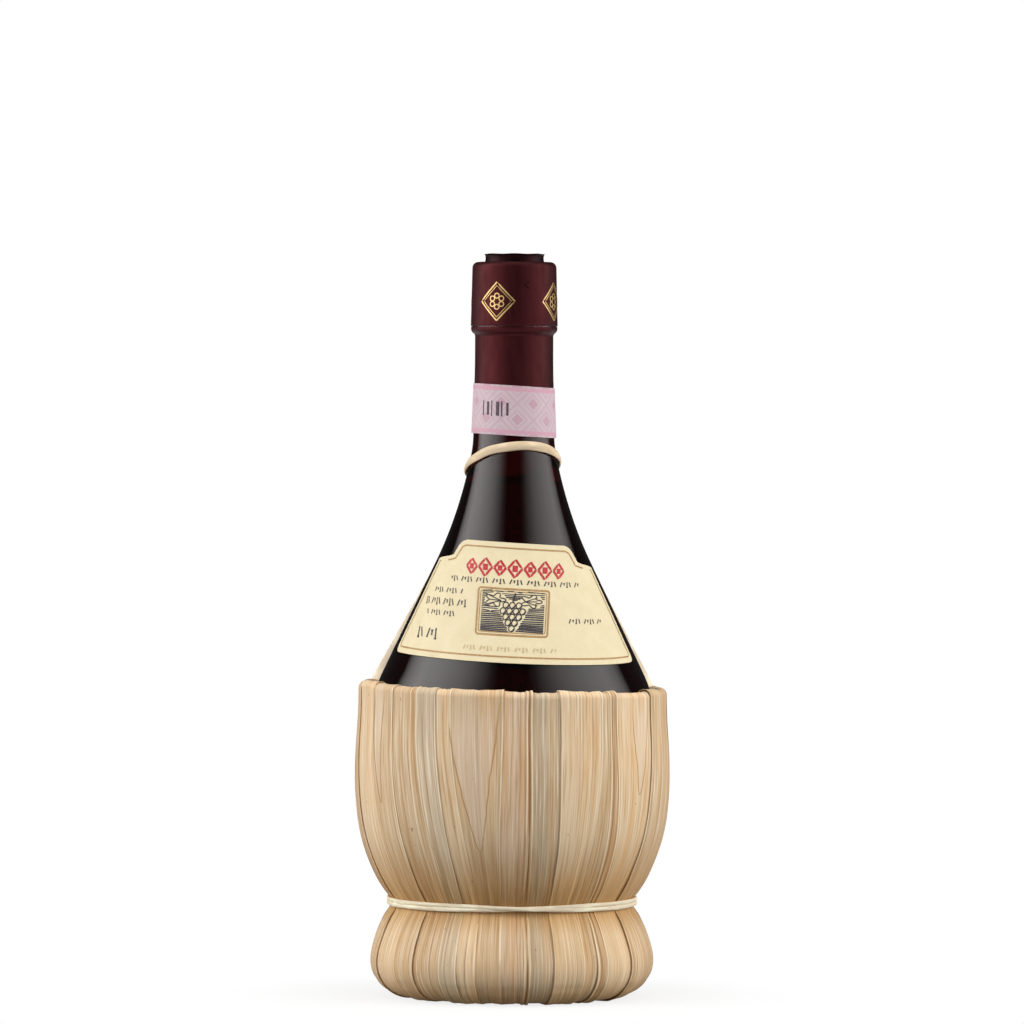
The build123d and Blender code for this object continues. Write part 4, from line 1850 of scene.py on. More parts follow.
    def _vine_leaf(self, side: int) -> list[Piece]:
        """Lobed leaf beside the bunch with three veins.

        Args:
            side: -1 for the left leaf, 1 for the right one.

        Returns:
            Its strokes.
        """
        across, up = side * self.leaf_middle[0], self.leaf_middle[1]
        outline = []
        for step in range(41):
            turn = math.tau * step / 40
            reach = 2.5 + 0.8 * math.cos(5 * turn)
            outline.append((across + reach * math.cos(turn) * 1.15, up + reach * math.sin(turn) * 0.7))
        parts = [self.stroke(outline, 0.36)]
        for lean in (-0.7, 0.0, 0.7):
            tip = (across + side * 2.1, up + lean * 1.9)
            parts.append(self.stroke(straight((side * 4.0, up - 0.2), tip, 3), 0.3))
        return parts

    def _picture(self) -> Piece:
        """Woodcut of a bunch of grapes with two leaves, and rows of small ornaments at the sides.

        Returns:
            The object.
        """
        parts = self._hatching()
        for height, count in self.grape_rows:
            for index in range(count):
                x = (index - (count - 1) / 2) * 2.2 + 0.15 * math.sin(height)
                parts.append(self.stroke(oval((x, height), (0.95, 1.0), 14), 0.36))
                parts.append(self.stroke(oval((x + 0.15, height - 0.2), (0.5, 0.5), 5, 250, 130), 0.34))
        parts.append(self.stroke(straight((0, 137.2), (0.7, 140.0), 4), 0.6))
        for side in (-1, 1):
            parts += self._vine_leaf(side)
        for row in self.side_rows:
            parts += self._row(*row)
        return Bench.joined("label_picture", parts)

    def _rules(self) -> Piece:
        """Pale row of small ornaments under the picture."""
        return Bench.joined("label_rules", self._row(*self.low_row))

    def build(self) -> None:
        sheet = laid("front_label_paper", 96, 72, self._place, (80.0, 42.0))
        Bench.thicken(sheet, self.paper)
        Bench.smooth(sheet, 35)
        PaperFinish().declare(sheet, "flask", "cream_paper", "front_label")
        for obj, colour, name in (
            (self._border(), (0.36, 0.21, 0.08), "ochre_ink"),
            (self._ornament(), (0.42, 0.02, 0.03), "red_ink"),
            (self._picture(), (0.03, 0.025, 0.03), "black_ink"),
            (self._rules(), (0.5, 0.38, 0.2), "pale_ink"),
        ):
            Bench.thicken(obj, self.ink, 1.0)
            InkFinish(colour=colour, name=name).declare(obj, "flask", "cream_paper")
        log.info("front label: paper, border, ornaments and picture")


# Raffia at the neck.


@dataclass
class NeckTie:
    """Raffia loop, its two hitches and the stays down to the basket. Sizes in mm."""

    flask: Flask
    height: float = 184.1
    width: float = 3.1
    thickness: float = 1.1
    gap: float = 0.25
    pitch: float = 24.0
    roll: float = 6.4
    head_angle: float = 137.0
    foot_angle: float = 107.0
    foot_radius: float = 50.684
    foot_height: float = 107.3
    finish: FibreFinish = FibreFinish((0.76, 0.61, 0.42), (0.63, 0.46, 0.27), name="loop_raffia")
    stay_finish: FibreFinish = FibreFinish((0.82, 0.7, 0.53), (0.7, 0.55, 0.37), name="stay_raffia")

    def loop_centre(self, degrees: float) -> Vector:
        """Middle of the loop at an angle from the front.

        Args:
            degrees: the angle.

        Returns:
            The point in mm.
        """
        flat = beside(self.flask.neck_radius, degrees, 0)
        height = self.height - math.tan(math.radians(self.pitch)) * flat.y
        height += math.tan(math.radians(self.roll)) * flat.x
        reach = self.flask.outside.radius_at(height) + self.gap + self.thickness / 2
        return beside(reach, degrees, height)

    def make_loop(self) -> Piece:
        """Flat band of several fibres side by side, its edges wavering.

        Returns:
            The object.
        """

        def path(share: float) -> Vector:
            """Middle of the loop at a share of the way round."""
            return self.loop_centre(360 * share + 180)

        def section(across: float, along: float) -> Pair:
            """Flat section of three fibres."""
            turn = math.tau * across
            sway = 1 + 0.12 * wander(along * 9, 0.3, 1.0)
            lobes = 1 + 0.1 * math.cos(3 * turn + 3 * wander(along * 6, 2.0, 0.0))
            side = self.thickness / 2 * math.cos(turn) * lobes
            lift = self.width / 2 * math.sin(turn) * sway + 0.3 * wander(along * 11, 5.0, 0.0)
            return side, lift

        def up(share: float) -> Vector:
            """Direction up the glass."""
            point = path(share)
            radius_at = self.flask.outside.radius_at
            slope = (radius_at(point.z - 2) - radius_at(point.z + 2)) / 4
            return (Vector((0, 0, 1)) - flat_way(point) * slope).normalized()

        return tube("neck_loop_raffia", path, section, 180, 30, True, 92.0, up)

    def stay_path(self, side: int) -> Callable[[float], Vector]:
        """Line of a stay from its head under the loop to its foot on the rim.

        Args:
            side: -1 for the left stay, 1 for the right one.

        Returns:
            The middle of the ribbon at a share of its length, in mm.
        """
        angle = side * self.foot_angle
        foot = beside(self.foot_radius, angle, self.foot_height - Basket.rim_drop(angle))
        at = self.loop_centre(side * self.head_angle)
        head = at - Vector((0, 0, 2.2)) + flat_way(at) * 0.9

        def path(share: float) -> Vector:
            """Middle of the ribbon."""
            edge = head.lerp(foot, share) + Vector((side * (2.6 * share - 0.9), 0, 0))
            sway = 0.12 * wander(share * 7, side * 2.0, 0.4)
            return edge + Vector((sway - side * self.stay_half(share), 0, 0))

        return path

    @staticmethod
    def stay_half(share: float) -> float:
        """Half the width of a stay at a share of its length."""
        return 0.6 + 1.6 * max(min(share, 1.0), 0.0) ** 1.25

    def make_stay(self, side: int) -> Piece:
        """Flat raffia ribbon that faces the front, narrow at its head and spread at its foot.

        Args:
            side: -1 for the left stay, 1 for the right one.

        Returns:
            The object.
        """
        path = self.stay_path(side)

        def section(across: float, along: float) -> Pair:
            """Thin section, curled over its width."""
            turn = math.tau * across
            half = self.stay_half(along) * (1 + 0.05 * wander(along * 14, side, 0.0))
            x = half * math.cos(turn)
            thick = 0.3 + 0.06 * math.cos(3 * turn)
            curl = 0.22 * math.sin(2.2 * x / half + 3 * wander(along * 5, 1.0, side))
            return x, thick * math.sin(turn) + curl

        def up(share: float) -> Vector:
            """Direction that the ribbon faces."""
            return Vector((side * 0.35, -1.0, 0.25)).normalized()

        name = "left" if side < 0 else "right"
        return tube(f"stay_{name}_raffia", path, section, 90, 26, False, 90.0, up)

    def make_hitch(self, side: int) -> Piece:
        """Knot of raffia that binds a stay to the loop.

        Args:
            side: -1 for the left stay, 1 for the right one.

        Returns:
            The object.
        """
        at = self.loop_centre(side * self.head_angle)
        flat = flat_way(at)
        aside, upwards = Vector((-flat.y, flat.x, 0)), Vector((0, 0, 1))
        centre = at + flat * 1.2 - upwards

        def path(share: float) -> Vector:
            """Middle of the strand."""
            knot = trefoil(share)
            return centre + aside * knot.x * 0.75 + upwards * knot.y * 0.85 + flat * knot.z * 0.55

        def section(across: float, along: float) -> Pair:
            """Slightly flat section."""
            turn = math.tau * across
            return 0.75 * math.cos(turn), 0.6 * math.sin(turn)

        name = "left" if side < 0 else "right"
        return tube(f"hitch_{name}_raffia", path, section, 120, 12, True, 40.0, lambda share: flat)

    def build(self) -> None:
        pieces = [(self.make_loop(), "neck_loop")]
        for side, name in ((-1, "left"), (1, "right")):
            pieces.append((self.make_stay(side), f"stay_{name}"))
            pieces.append((self.make_hitch(side), f"hitch_{name}"))
        for obj, node in pieces:
            Bench.smooth(obj, 60)
            finish = self.stay_finish if node.startswith("stay") else self.finish
            finish.declare(obj, "flask", "raffia", node)
        log.info("neck tie: loop, hitches and stays")


# Basket.


@dataclass(frozen=True)
class Grain:
    """Grain figure of a leaf: side of its tip from -1 to 1, heights of tip and top, half width in mm."""

    side: float
    tip: float
    top: float
    half: float


@dataclass(frozen=True)
class Blade:
    """One sedge leaf.

    Its edges at the rim and below the waist are in degrees, its lift, fold at the rim and step in mm.
    Its crease is a side from -1 to 1, and its age runs from fresh at 0 to stained at 1.
    """

    left: float
    right: float
    low_left: float
    low_right: float
    tone: LeafTone = LeafTone.STRAW
    lift: float = 0.0
    crease: float = 0.0
    tilt: float = 0.0
    fold: float = 0.0
    step: float = 0.0
    age: float = 0.4
    grain: Grain = Grain(0.0, -900.0, -800.0, 0.0)

    def middle(self) -> float:
        """Angle of the blade's middle at the rim."""
        return (self.left + self.right) / 2


LEFT_GRAIN = Grain(-0.35, 67.7, 104.0, 3.1)
FRONT_GRAIN = Grain(-0.12, 52.3, 99.0, 9.2)
RIGHT_GRAIN = Grain(0.28, 71.0, 97.0, 4.3)
FRONT_BLADES = (
    Blade(-92, -78, -90, -72, LeafTone.TAN, 0.3, 0.4, 0.06, 0.1, 0.1, 0.5),
    Blade(-78, -63.6, -72, -56, LeafTone.CREAM, 0.0, -0.3, 0.1, 0.9, -0.1, 0.3),
    Blade(-63.6, -50.1, -56, -43.8, LeafTone.STRAW, 0.34, 0.6, -0.06, 0.2, 0.15, 0.6, LEFT_GRAIN),
    Blade(-50.1, -38.2, -43.8, -31.1, LeafTone.TAN, 0.02, 0.25, 0.05, 0.1, -0.15, 0.85),
    Blade(-38.2, -29.1, -31.1, -23.0, LeafTone.GREY, 0.36, -0.2, 0.05, 0.0, 0.1, 0.35),
    Blade(-29.1, -24.1, -23.0, -16.1, LeafTone.CREAM, 0.0, 0.1, 0.0, -0.1, 0.25, 0.7),
    Blade(-24.1, -3.3, -16.1, -4.7, LeafTone.STRAW, 0.38, 0.05, 0.05, 0.1, -0.1, 0.5, FRONT_GRAIN),
    Blade(-2.7, 4.8, -4.1, 4.7, LeafTone.BLUSH, 0.02, 0.35, -0.1, -0.2, 0.1, 0.45),
    Blade(4.8, 7.4, 4.7, 8.0, LeafTone.TAN, 0.36, 0.0, 0.1, 0.0, 0.2, 1.0),
    Blade(7.4, 17.7, 8.0, 17.5, LeafTone.GREY, 0.0, -0.45, 0.06, -0.3, -0.1, 0.3),
    Blade(17.7, 35.2, 17.5, 30.7, LeafTone.CREAM, 0.5, 0.5, -0.1, 0.15, 0.2, 0.35),
    Blade(35.2, 38.3, 30.7, 37.3, LeafTone.STRAW, 0.08, 0.2, 0.0, -0.1, -0.1, 0.6),
    Blade(38.3, 42.2, 37.3, 43.0, LeafTone.TAN, 0.36, -0.3, 0.08, 0.15, 0.15, 0.9),
    Blade(42.2, 62.0, 43.0, 57.0, LeafTone.CREAM, 0.02, 0.75, 0.05, -0.1, -0.1, 0.5, RIGHT_GRAIN),
    Blade(62.0, 72.4, 57.0, 68.0, LeafTone.STRAW, 0.42, -0.6, -0.12, 0.3, 0.2, 1.0),
    Blade(72.4, 92.0, 68.0, 90.0, LeafTone.TAN, 0.0, 0.2, 0.05, 0.1, 0.0, 0.6),
)


@dataclass
class Basket:
    """Sedge basket: two layers of leaves, rim cord, foot ring, base and twine. Sizes in mm."""

    flask: Flask
    leaf: float = 0.36
    leaf_gap: float = 0.1
    clearance: float = 0.1
    rim_height: float = 107.0
    rim_cord_radius: float = 1.5
    rim_tail: float = 1.4
    rim_radius: float = 53.104
    belly_radius: float = 54.2
    waist_height: float = 32.398
    waist_run: float = 3.2
    waist_radius: float = 42.279
    foot_radius: float = 48.979
    tread_radius: float = 30.989
    hub_radius: float = 7.0
    hub_height: float = 2.6
    pairs: int = 20
    rows: int = 150
    leaf_share: float = 0.85
    edge_waver: float = 0.4
    crease_depth: float = 0.22
    swell: float = 0.11
    foot_swell: float = 0.22
    waist_pucker: float = 0.3
    binding_depth: float = 0.16
    rim_waver: float = 0.14
    twine_radius: float = 0.7
    twine_rise: float = 0.7
    twine_half_pitch: float = 0.7
    skin: Outline = field(init=False)
    shares: list = field(init=False)

    def __post_init__(self) -> None:
        """Draws the skin of the basket from the hub under the base to inside the rim."""
        low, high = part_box("foot_ring")
        self.ring_section = (high[2] - low[2]) / 2 / MM
        layers = 2 * self.leaf + self.leaf_gap
        foot = self.ring_section + layers + self.clearance
        fold = self.rim_cord_radius + self.clearance + layers
        self.cord_radius = self.rim_radius - fold
        self.ring_radius = self.foot_radius - foot
        self.foot_round = foot
        waist_low = self.waist_height - self.waist_run / 2
        waist_high = self.waist_height + self.waist_run / 2
        flare = self.foot_radius - self.waist_radius
        side = self.belly_radius - self.waist_radius
        reach = self.rim_height - waist_high
        self.skin = Outline(
            [
                Stop(self.hub_radius, self.hub_height, -90),
                Stop(self.tread_radius, 0, -90),
                Stop(self.ring_radius, 0, -90),
                Stop(self.foot_radius, foot, 0),
                Stop(self.waist_radius + 0.66 * flare, foot + 0.53 * (waist_low - foot), 21),
                Stop(self.waist_radius + 0.3 * flare, foot + 0.81 * (waist_low - foot), 28),
                Stop(self.waist_radius, waist_low, 18),
                Stop(self.waist_radius, waist_high, -24),
                Stop(self.waist_radius + 0.19 * side, waist_high + 0.049 * reach, -34),
                Stop(self.waist_radius + 0.66 * side, waist_high + 0.205 * reach, -21),
                Stop(self.belly_radius, waist_high + 0.58 * reach, 0),
                Stop(self.rim_radius, self.rim_height, 0),
                Stop(self.rim_radius - 2 * fold, self.rim_height, 180),
                Stop(self.rim_radius - 2 * fold, self.rim_height - self.rim_tail, 180),
            ]
        )
        self.waist_length = self.skin.length_at(self.waist_height)
        self.rim_length = self.skin.length_at(self.rim_height - 0.01)
        measure = [0.0]
        for index in range(1, len(self.skin.points)):
            run = self.skin.lengths[index] - self.skin.lengths[index - 1]
            turn = self.skin.runs[index - 1].angle(self.skin.runs[index])
            measure.append(measure[-1] + run + 5.0 * turn)
        self.shares = [m / measure[-1] for m in measure]

    def length_at_share(self, share: float) -> float:
        """Length along the skin at a share of the rows, closer together where it bends."""
        low, part = spot(self.shares, share)
        return self.skin.lengths[low] + part * (self.skin.lengths[low + 1] - self.skin.lengths[low])

    @staticmethod
    def rim_drop(degrees: float) -> float:
        """How far the rim hangs at an angle, a little more on the right."""
        return 1.9 + 1.1 * math.sin(math.radians(degrees))

    def blade_sheet(self, blade: Blade, seed: float, columns: int) -> Piece:
        """One blade as a sheet over its whole way.

        Args:
            blade: the blade.
            seed: number that makes its waver its own.
            columns: faces across.

        Returns:
            The sheet without thickness.
        """
        width = math.radians(blade.right - blade.left) * self.belly_radius
        reach = self.rim_length - self.waist_length
        floor = -0.55 if blade.lift >= 0 else -1.0

        def lie(length: float, side: float, point: Vector) -> Pair:
            """Angle and distance from the skin at a length and a side from -1 to 1.

            Args:
                length: length along the skin in mm.
                side: place across the blade, from -1 to 1.
                point: the skin's radius and height there.

            Returns:
                Degrees from the front, and mm off the skin.
            """
            below = eased(self.waist_length - length, -3, 12)
            near_waist = 1 - eased(abs(length - self.waist_length), 0, 28)
            fall = eased(self.rim_length - length, 6, reach - 4)
            left = blade.left + (blade.low_left - blade.left) * fall
            left += self.edge_waver * wander(length * 0.035, seed, 4.0)
            right = blade.right + (blade.low_right - blade.right) * fall
            right += self.edge_waver * wander(length * 0.035, seed, 9.0)
            half = (right - left) / 2
            chord = point.x * (1 - math.cos(math.radians(half))) * (1 - side * side)
            out = 0.55 * blade.lift + blade.tilt * side - (0.4 + 0.6 * below) * chord
            out -= self.crease_depth * bump(side, blade.crease, 0.12)
            out += self.swell * wander(side * 1.3 + seed, length * 0.045, seed)
            swell = self.foot_swell * wander(side * 1.1 + seed * 2, length * 0.06, seed + 5)
            out += below * (blade.step + swell)
            out -= self.binding_depth * below * bump(point.y, 5.2 + 0.7 * math.sin(seed * 3), 1.0)
            press = bump(length, self.waist_length, 2.0)
            pucker = self.waist_pucker * near_waist * (1 - press)
            out += pucker * wander(side * 2.2 + seed * 3, length * 0.05, seed + 8)
            out = out * (1 - press) + (0.25 * out - 0.35) * press - 0.35 * below * (1 - press)
            return (left + right) / 2 + half * side, max(out, floor)

        def place(across: float, along: float) -> Vector:
            """Point at the shares across and along the blade."""
            length = self.length_at_share(along)
            point, normal = self.skin.at(length)
            degrees, out = lie(length, 2 * across - 1, point)
            end = self.rim_length
            rise = blade.fold * eased(length, end - 7, end)
            waver = self.rim_waver * wander(across * 5 + seed, 3.0, seed)
            rise += waver * eased(length, end - 4, end + 1)
            rise -= self.rim_drop(degrees) * eased(length, end - 32, end)
            return around(point.x + normal.x * out, degrees, max(point.y + normal.y * out + rise, 0.03))

        def chart(across: float, along: float) -> Pair:
            """Place on the blade's own map in mm."""
            return across * width, self.length_at_share(along)

        grain = blade.grain
        marks = {
            "marks": (blade.tone.value, width * (blade.crease + 1) / 2, width, blade.age),
            "figure": (width * (grain.side + 1) / 2, grain.tip, grain.top, grain.half),
        }
        return laid("blade", columns, self.rows, place, chart=chart, marks=marks)

    def _blades(self) -> list[Blade]:
        """All outer blades: those of the front, then others round the back.

        Returns:
            The blades, each tucked under its higher neighbour by a lap.
        """
        dice = random.Random(41)
        blades = list(FRONT_BLADES)
        at, end, lap = FRONT_BLADES[-1].right, 360 + FRONT_BLADES[0].left, 1.3
        layers = (0.34, 0.02, 0.4, 0.0, 0.36, 0.04, 0.3)
        tones = (LeafTone.CREAM, LeafTone.STRAW, LeafTone.TAN, LeafTone.BLUSH, LeafTone.STRAW, LeafTone.GREY)
        while at < end - 0.5:
            width = min(dice.choice((4.0, 8.5, 11.0, 13.5, 17.0, 20.0)), end - at)
            grain = Blade.grain
            if width > 12 and dice.random() < 0.6:
                tip = dice.uniform(45, 75)
                grain = Grain(dice.uniform(-0.4, 0.4), tip, tip + dice.uniform(25, 45), dice.uniform(3, 7))
            slip = dice.uniform(-2.5, 2.5)
            blades.append(
                Blade(
                    left=at,
                    right=at + width,
                    low_left=at if len(blades) == len(FRONT_BLADES) else blades[-1].low_right,
                    low_right=at + width + (slip if at + width < 262 else 0.0),
                    tone=dice.choice(tones),
                    lift=layers[len(blades) % len(layers)],
                    crease=dice.uniform(-0.7, 0.7),
                    tilt=dice.uniform(-0.1, 0.1),
                    fold=dice.uniform(-0.4, 0.4),
                    step=dice.uniform(-0.15, 0.25),
                    age=dice.uniform(0.2, 1.0),
                    grain=grain,
                )
            )
            at += width
        for index, blade in enumerate(blades):
            following = (index + 1) % len(blades)
            other = blades[following]
            if blade.lift > other.lift:
                blades[following] = replace(other, left=other.left - lap, low_left=other.low_left - lap)
            else:
                blades[index] = replace(blade, right=blade.right + lap, low_right=blade.low_right + lap)
        return blades

    def make_outer(self) -> list[tuple[Piece, str]]:
        """Outer leaves, gathered under the node whose sector they lie in.

        Returns:
            Each object with the node whose place it takes.
        """
        pitch = 360 / self.pairs
        sectors: dict[int, list[Blade]] = {index: [] for index in range(self.pairs)}
        for blade in self._blades():
            sectors[round(blade.middle() / pitch) % self.pairs].append(blade)
        made = []
        for index, blades in sectors.items():
            sheets = []
            for number, blade in enumerate(blades):
                columns = max(8, round((blade.right - blade.left) * 1.4))
                sheets.append(self.blade_sheet(blade, index * 3.1 + number * 1.7, columns))
            obj = Bench.joined(f"sedge_outer_{index + 1:02d}", sheets)
            made.append((obj, f"straw_outer_{index + 1:02d}"))
        return made

    def make_inner(self) -> list[tuple[Piece, str]]:
        """Inner leaves that close the gaps between the outer ones.

        Returns:
            Each object with the node whose place it takes.
        """
        pitch = 360 / self.pairs
        dice = random.Random(7)
        made = []
        for index in range(self.pairs):
            middle = (index + 0.5) * pitch
            left, right = middle - pitch / 2 - 0.5, middle + pitch / 2 + 0.5
            tone = dice.choice((LeafTone.BROWN, LeafTone.TAN))
            crease = dice.uniform(-0.5, 0.5)
            blade = Blade(left, right, left, right, tone, -1.15, crease, 0.1, -0.6, age=1.0)
            sheet = self.blade_sheet(blade, 50 + index * 2.3, 10)
            obj = Bench.joined(f"sedge_inner_{index + 1:02d}", [sheet])
            made.append((obj, f"straw_inner_{index + 1:02d}"))
        return made

    def make_rim_cord(self) -> Piece:
        """Two-strand cord inside the folded rim.

        Returns:
            The object.
        """

        def path(share: float) -> Vector:
            """Middle of the cord."""
            degrees = 360 * share + 90
            return beside(self.cord_radius, degrees, self.rim_height - self.rim_drop(degrees))

        def section(across: float, along: float) -> Pair:
            """Section of two strands that turn round each other."""
            turn = math.tau * across
            spin = math.tau * along * 60
            reach = self.rim_cord_radius * (0.82 + 0.18 * abs(math.cos(turn - spin)))
            return reach * math.cos(turn), reach * math.sin(turn)

        return tube("rim_cord_straw", path, section, 720, 14, True, 318.0)

    def make_foot_ring(self) -> Piece:
        """Roll of straw that the flask sits in, bound round.

        Returns:
            The object.
        """

        def path(share: float) -> Vector:
            """Middle of the roll."""
            return beside(self.ring_radius, 360 * share + 90, self.foot_round)

        def section(across: float, along: float) -> Pair:
            """Round section of many straws, drawn in where it is bound."""
            turn = math.tau * across
            straws = 0.985 - 0.02 * abs(math.sin(turn * 14 + 2 * wander(along * 20, 1, 1)))
            bound = 1 - 0.015 * bump(math.sin(math.pi * along * 16), 0, 0.12)
            reach = self.ring_section * straws * bound
            return reach * math.cos(turn), reach * math.sin(turn)

        return tube("foot_ring_straw", path, section, 288, 84, True, 232.0)

    def make_button(self) -> Piece:
        """Coiled button that closes the middle of the underside.

        Returns:
            The object.
        """
        low = self.hub_height - 0.6
        top = low + 2 * self.leaf + self.leaf_gap + 0.6 + 1.6
        reach = self.hub_radius - self.clearance
        outline = [(0.0, low + 0.1)]
        coils, hub = 4, 0.6
        coil = (reach - hub) / coils
        for index in range(coils):
            for step in range(1, 7):
                turn = math.pi * step / 6
                radius = hub + coil * (index + (1 - math.cos(turn)) / 2)
                outline.append((radius, low + 0.45 - 0.45 * math.sin(turn)))
        outline += [(reach, top - 0.4), (reach - 0.4, top), (0.0, top)]
        return turned("base_button_straw", outline, 96)

    def twine_centre(self, turns: float) -> Vector:
        """Middle of the twine after a number of turns, from the back round the front.

        Args:
            turns: turns from the back, 0 to 2.

        Returns:
            The point in mm.
        """
        first = turns < 1
        share = turns % 1
        rise = self.twine_half_pitch * (1 - 2 * eased(share, 0.4, 0.62)) * (1 if first else -1)
        height = self.waist_height + self.twine_rise + rise + 0.12 * wander(turns * 9, 2.0, 0.5)
        over = (0.75 if first else -0.1) * bump(share, 0.51, 0.035)
        return beside(self.waist_radius - 0.15 + self.twine_radius + over, 180 + 360 * turns, height)

    def make_twine(self) -> Piece:
        """Unbroken twine, two turns round the waist, the strands crossing at the front.

        Returns:
            The object.
        """

        def path(share: float) -> Vector:
            """Middle of the strand, its ends just short of the back."""
            return self.twine_centre(0.012 + share * 1.976)

        def section(across: float, along: float) -> Pair:
            """Upright section of three twisted yarns."""
            turn = math.tau * across
            spin = math.tau * along * 22
            lobes = 0.94 + 0.06 * math.cos(3 * turn - spin)
            swell = 1 + 0.12 * wander(along * 45, 1.0, 0.0)
            reach = self.twine_radius * lobes * swell
            return reach * 0.72 * math.cos(turn), reach * 1.12 * math.sin(turn)

        return tube("waist_twine_strand", path, section, 1400, 16, False, 540.0)

    def make_knot(self) -> Piece:
        """Knot of the twine at the back of the waist.

        Returns:
            The object.
        """
        centre = Vector((0, self.waist_radius + 1.7, self.waist_height))

        def path(share: float) -> Vector:
            """Middle of the strand."""
            knot = trefoil(share)
            return centre + Vector((knot.x * 0.95, knot.z * 0.55, knot.y * 0.95))

        def section(across: float, along: float) -> Pair:
            """Round section of two yarns."""
            turn = math.tau * across
            lobes = 0.88 + 0.12 * abs(math.cos(turn - math.tau * along * 12))
            return 0.8 * lobes * math.cos(turn), 0.8 * lobes * math.sin(turn)

        return tube("twine_knot_strand", path, section, 220, 14, True, 48.0, lambda share: Vector((0, 1, 0)))

    def build(self) -> None:
        """Makes and declares everything of the basket."""
        straw = LeafFinish()
        for obj, node in [*self.make_outer(), *self.make_inner()]:
            Bench.thicken(obj, self.leaf * self.leaf_share)
            Bench.smooth(obj, 50)
            straw.declare(obj, "flask", "straw", node)
        log.info("basket: leaves")
        reed = FibreFinish((0.56, 0.43, 0.24), (0.3, 0.19, 0.09), name="reed_straw")
        cream = FibreFinish((0.86, 0.77, 0.58), (0.72, 0.6, 0.42), twist=0.35, name="cream_twine")
        coiled = PaperFinish((0.5, 0.38, 0.2), (0.3, 0.2, 0.1), name="coiled_straw")
        for obj, finish, node, slot in (
            (self.make_rim_cord(), reed, "rim_cord", "straw"),
            (self.make_foot_ring(), reed, "foot_ring", "straw"),
            (self.make_button(), coiled, "base_button", "straw"),
            (self.make_twine(), cream, "waist_twine", "twine"),
            (self.make_knot(), cream, "twine_knot", "twine"),
        ):
            Bench.smooth(obj, 60)
            finish.declare(obj, "flask", slot, node)
        log.info("basket: cords, ring, button and twine")


# Studio.


@dataclass(frozen=True)
class Lamp:
    """Square soft lamp: its name, place and size in m, and power in W."""

    name: str
    place: tuple[float, float, float]
    size: float
    power: float


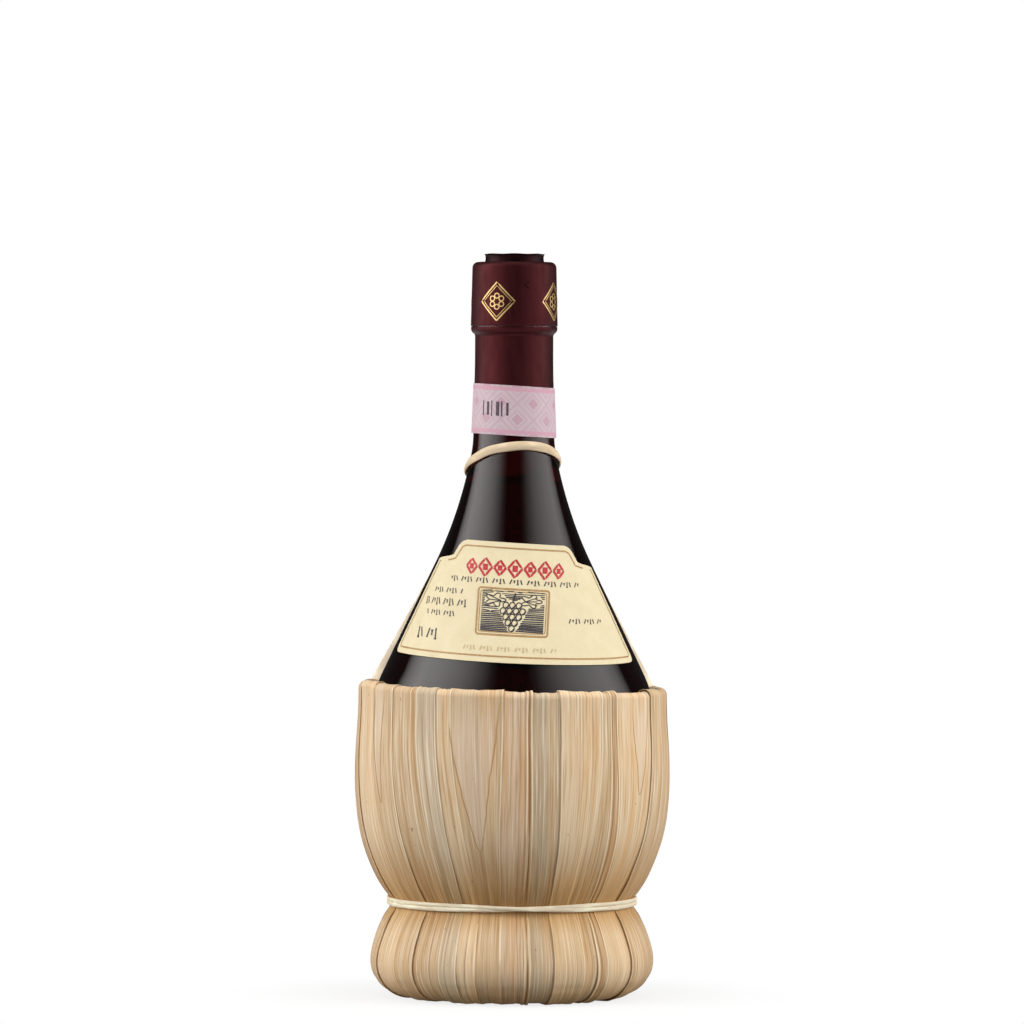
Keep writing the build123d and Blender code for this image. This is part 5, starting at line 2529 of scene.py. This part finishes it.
@dataclass
class Studio:
    """Floor, soft lights, the tent that the glass mirrors, and the camera. Sizes in m."""

    distance: float = 2.334
    eye: float = 0.206
    aim: float = 0.1671
    lens: float = 237.8
    roll: float = 0.24
    shift: float = -0.0005
    sensor: float = 36.0
    floor_radius: float = 1.6
    tent_radius: float = 1.3
    tent_height: float = 2.6
    tent_middle: float = 1.1
    panel: float = 3.5
    right_share: float = 0.7
    lamp_aim: float = 0.12
    lamps: tuple = (
        Lamp("left", (-1.85, -0.75, 0.9), 1.3, 31.0),
        Lamp("right", (1.85, -0.75, 0.9), 1.3, 33.0),
        Lamp("top", (0.0, -0.5, 1.9), 1.2, 9.0),
    )
    glow: tuple = (
        (16, 0.0),
        (24, 0.06),
        (36, 0.3),
        (50, 0.6),
        (64, 0.82),
        (80, 1.0),
        (98, 1.0),
        (112, 0.5),
        (122, 0.0),
    )

    def make_world(self) -> None:
        """White background for the camera and the glass, even soft light for the rest."""
        world = bpy.data.worlds.new("studio_world")
        bpy.context.scene.world = world
        world.use_nodes = True
        wiring = Wiring(world.node_tree)
        mirrored = wiring.add("LightPath").outputs["Is Glossy Ray"]
        seen = wiring.math("MAXIMUM", wiring.seen(), mirrored)
        x, _, height = wiring.split(wiring.where("Generated"))
        soft = wiring.span(height, -0.3, 0.5, 0.2, 0.55)
        aside = wiring.math("ABSOLUTE", x)
        soft = wiring.product(soft, wiring.span(aside, 0.1, 0.9, 0.55, 1.2))
        ground = world.node_tree.nodes["Background"]
        wiring.feed(ground.inputs["Color"], (1.0, 1.0, 1.0))
        wiring.feed(ground.inputs["Strength"], wiring.math("MAXIMUM", seen, soft))

    def make_floor(self) -> None:
        """Round white floor that keeps a soft shadow close to the object."""
        Bench.clear()
        bpy.ops.mesh.primitive_circle_add(vertices=96, radius=self.floor_radius, fill_type="NGON")
        floor = bpy.context.object
        floor.name = "studio_floor"
        Bench.edit(floor)
        bpy.ops.mesh.inset(thickness=self.floor_radius * 0.75)
        bpy.ops.object.mode_set(mode="OBJECT")
        made, wiring = new_material("floor_white")
        wiring.coat("Base Color", (0.86, 0.86, 0.86))
        wiring.coat("Roughness", 0.9)
        wiring.coat("Specular IOR Level", 0.1)
        glow = wiring.add("Emission", {"Color": (1.0, 1.0, 1.0), "Strength": 1.0})
        x, y, _ = wiring.split(wiring.where())
        reach = wiring.math("SQRT", wiring.math("ADD", wiring.product(x, x), wiring.product(y, y)))
        factor = wiring.product(wiring.seen(), wiring.span(reach, 0.045, 0.11, 0.8, 1.0))
        matt = made.node_tree.nodes["Principled BSDF"].outputs[0]
        mixed = wiring.add("MixShader", {0: factor, 1: matt, 2: glow.outputs[0]})
        below = wiring.add("NewGeometry").outputs["Backfacing"]
        clear = wiring.add("BsdfTransparent")
        either = wiring.add("MixShader", {0: below, 1: mixed.outputs[0], 2: clear.outputs[0]})
        wiring.end("Surface", either.outputs[0])
        floor.data.materials.append(made)
        floor.visible_diffuse = False

    def make_tent(self) -> None:
        """Upright round screen that only reflections see: a glow at each side, dark between and behind."""
        Bench.clear()
        bpy.ops.mesh.primitive_cylinder_add(
            vertices=64,
            radius=self.tent_radius,
            depth=self.tent_height,
            location=(0, 0, self.tent_middle),
            end_fill_type="NOTHING",
        )
        tent = bpy.context.object
        tent.name = "studio_tent"
        Bench.hold(tent)
        bpy.ops.object.transform_apply(location=True, rotation=True, scale=True)
        made, wiring = new_material("tent_panels")
        made.node_tree.nodes.remove(made.node_tree.nodes["Principled BSDF"])
        x, y, z = wiring.split(wiring.where())
        turn = wiring.math("ARCTAN2", wiring.math("ABSOLUTE", x), wiring.product(y, -1.0))
        share = wiring.product(turn, 1 / math.pi)
        level = wiring.ramp(share, [(degrees / 180, (glow,) * 3) for degrees, glow in self.glow])
        side = wiring.span(x, -0.05, 0.05, 1.0, self.right_share)
        ends = wiring.product(wiring.span(z, -0.1, 0.15), wiring.span(z, 2.0, 2.38, 1.0, 0.0))
        level = wiring.product(wiring.product(level, side), ends)
        strength = wiring.math("MULTIPLY_ADD", level, self.panel, 0.03)
        glow = wiring.add("Emission", {"Color": (1.0, 0.98, 0.97), "Strength": strength})
        wiring.end("Surface", glow.outputs[0])
        tent.data.materials.append(made)
        for ray in ("camera", "diffuse", "transmission", "shadow", "volume_scatter"):
            setattr(tent, f"visible_{ray}", False)

    def make_lamps(self) -> None:
        """Large soft lamps, left and right in front and one above."""
        for lamp in self.lamps:
            data = bpy.data.lights.new(f"lamp_{lamp.name}", "AREA")
            data.shape = "SQUARE"
            data.size = lamp.size
            data.energy = lamp.power
            obj = bpy.data.objects.new(f"lamp_{lamp.name}", data)
            obj.location = lamp.place
            toward = Vector((0, 0, self.lamp_aim)) - Vector(lamp.place)
            obj.rotation_euler = toward.to_track_quat("-Z", "Y").to_euler()
            obj.visible_glossy = False
            obj.visible_transmission = False
            bpy.context.collection.objects.link(obj)

    def make_camera(self) -> None:
        """Camera at the photograph's place and angle."""
        data = bpy.data.cameras.new("camera")
        data.lens = self.lens
        data.sensor_width = self.sensor
        data.clip_start, data.clip_end = 0.1, 20.0
        camera = bpy.data.objects.new("camera", data)
        camera.location = (self.shift, -self.distance, self.eye)
        toward = Vector((0, self.distance, self.aim - self.eye))
        tilt = toward.to_track_quat("-Z", "Y") @ Quaternion((0, 0, 1), math.radians(self.roll))
        camera.rotation_euler = tilt.to_euler()
        bpy.context.collection.objects.link(camera)
        bpy.context.scene.camera = camera

    def build(self) -> None:
        """Sets up the whole studio."""
        bpy.context.scene.view_settings.view_transform = "Standard"
        self.make_world()
        self.make_floor()
        self.make_tent()
        self.make_lamps()
        self.make_camera()
        log.info("studio")


def main() -> None:
    """Builds every sub-assembly and the studio."""
    logging.basicConfig(level=logging.INFO, format="%(message)s")
    flask = Flask()
    flask.build()
    Capsule(flask).build()
    SealBand(flask).build()
    FrontLabel(flask).build()
    NeckTie(flask).build()
    Basket(flask).build()
    Studio().build()


if __name__ == "__main__":
    main()
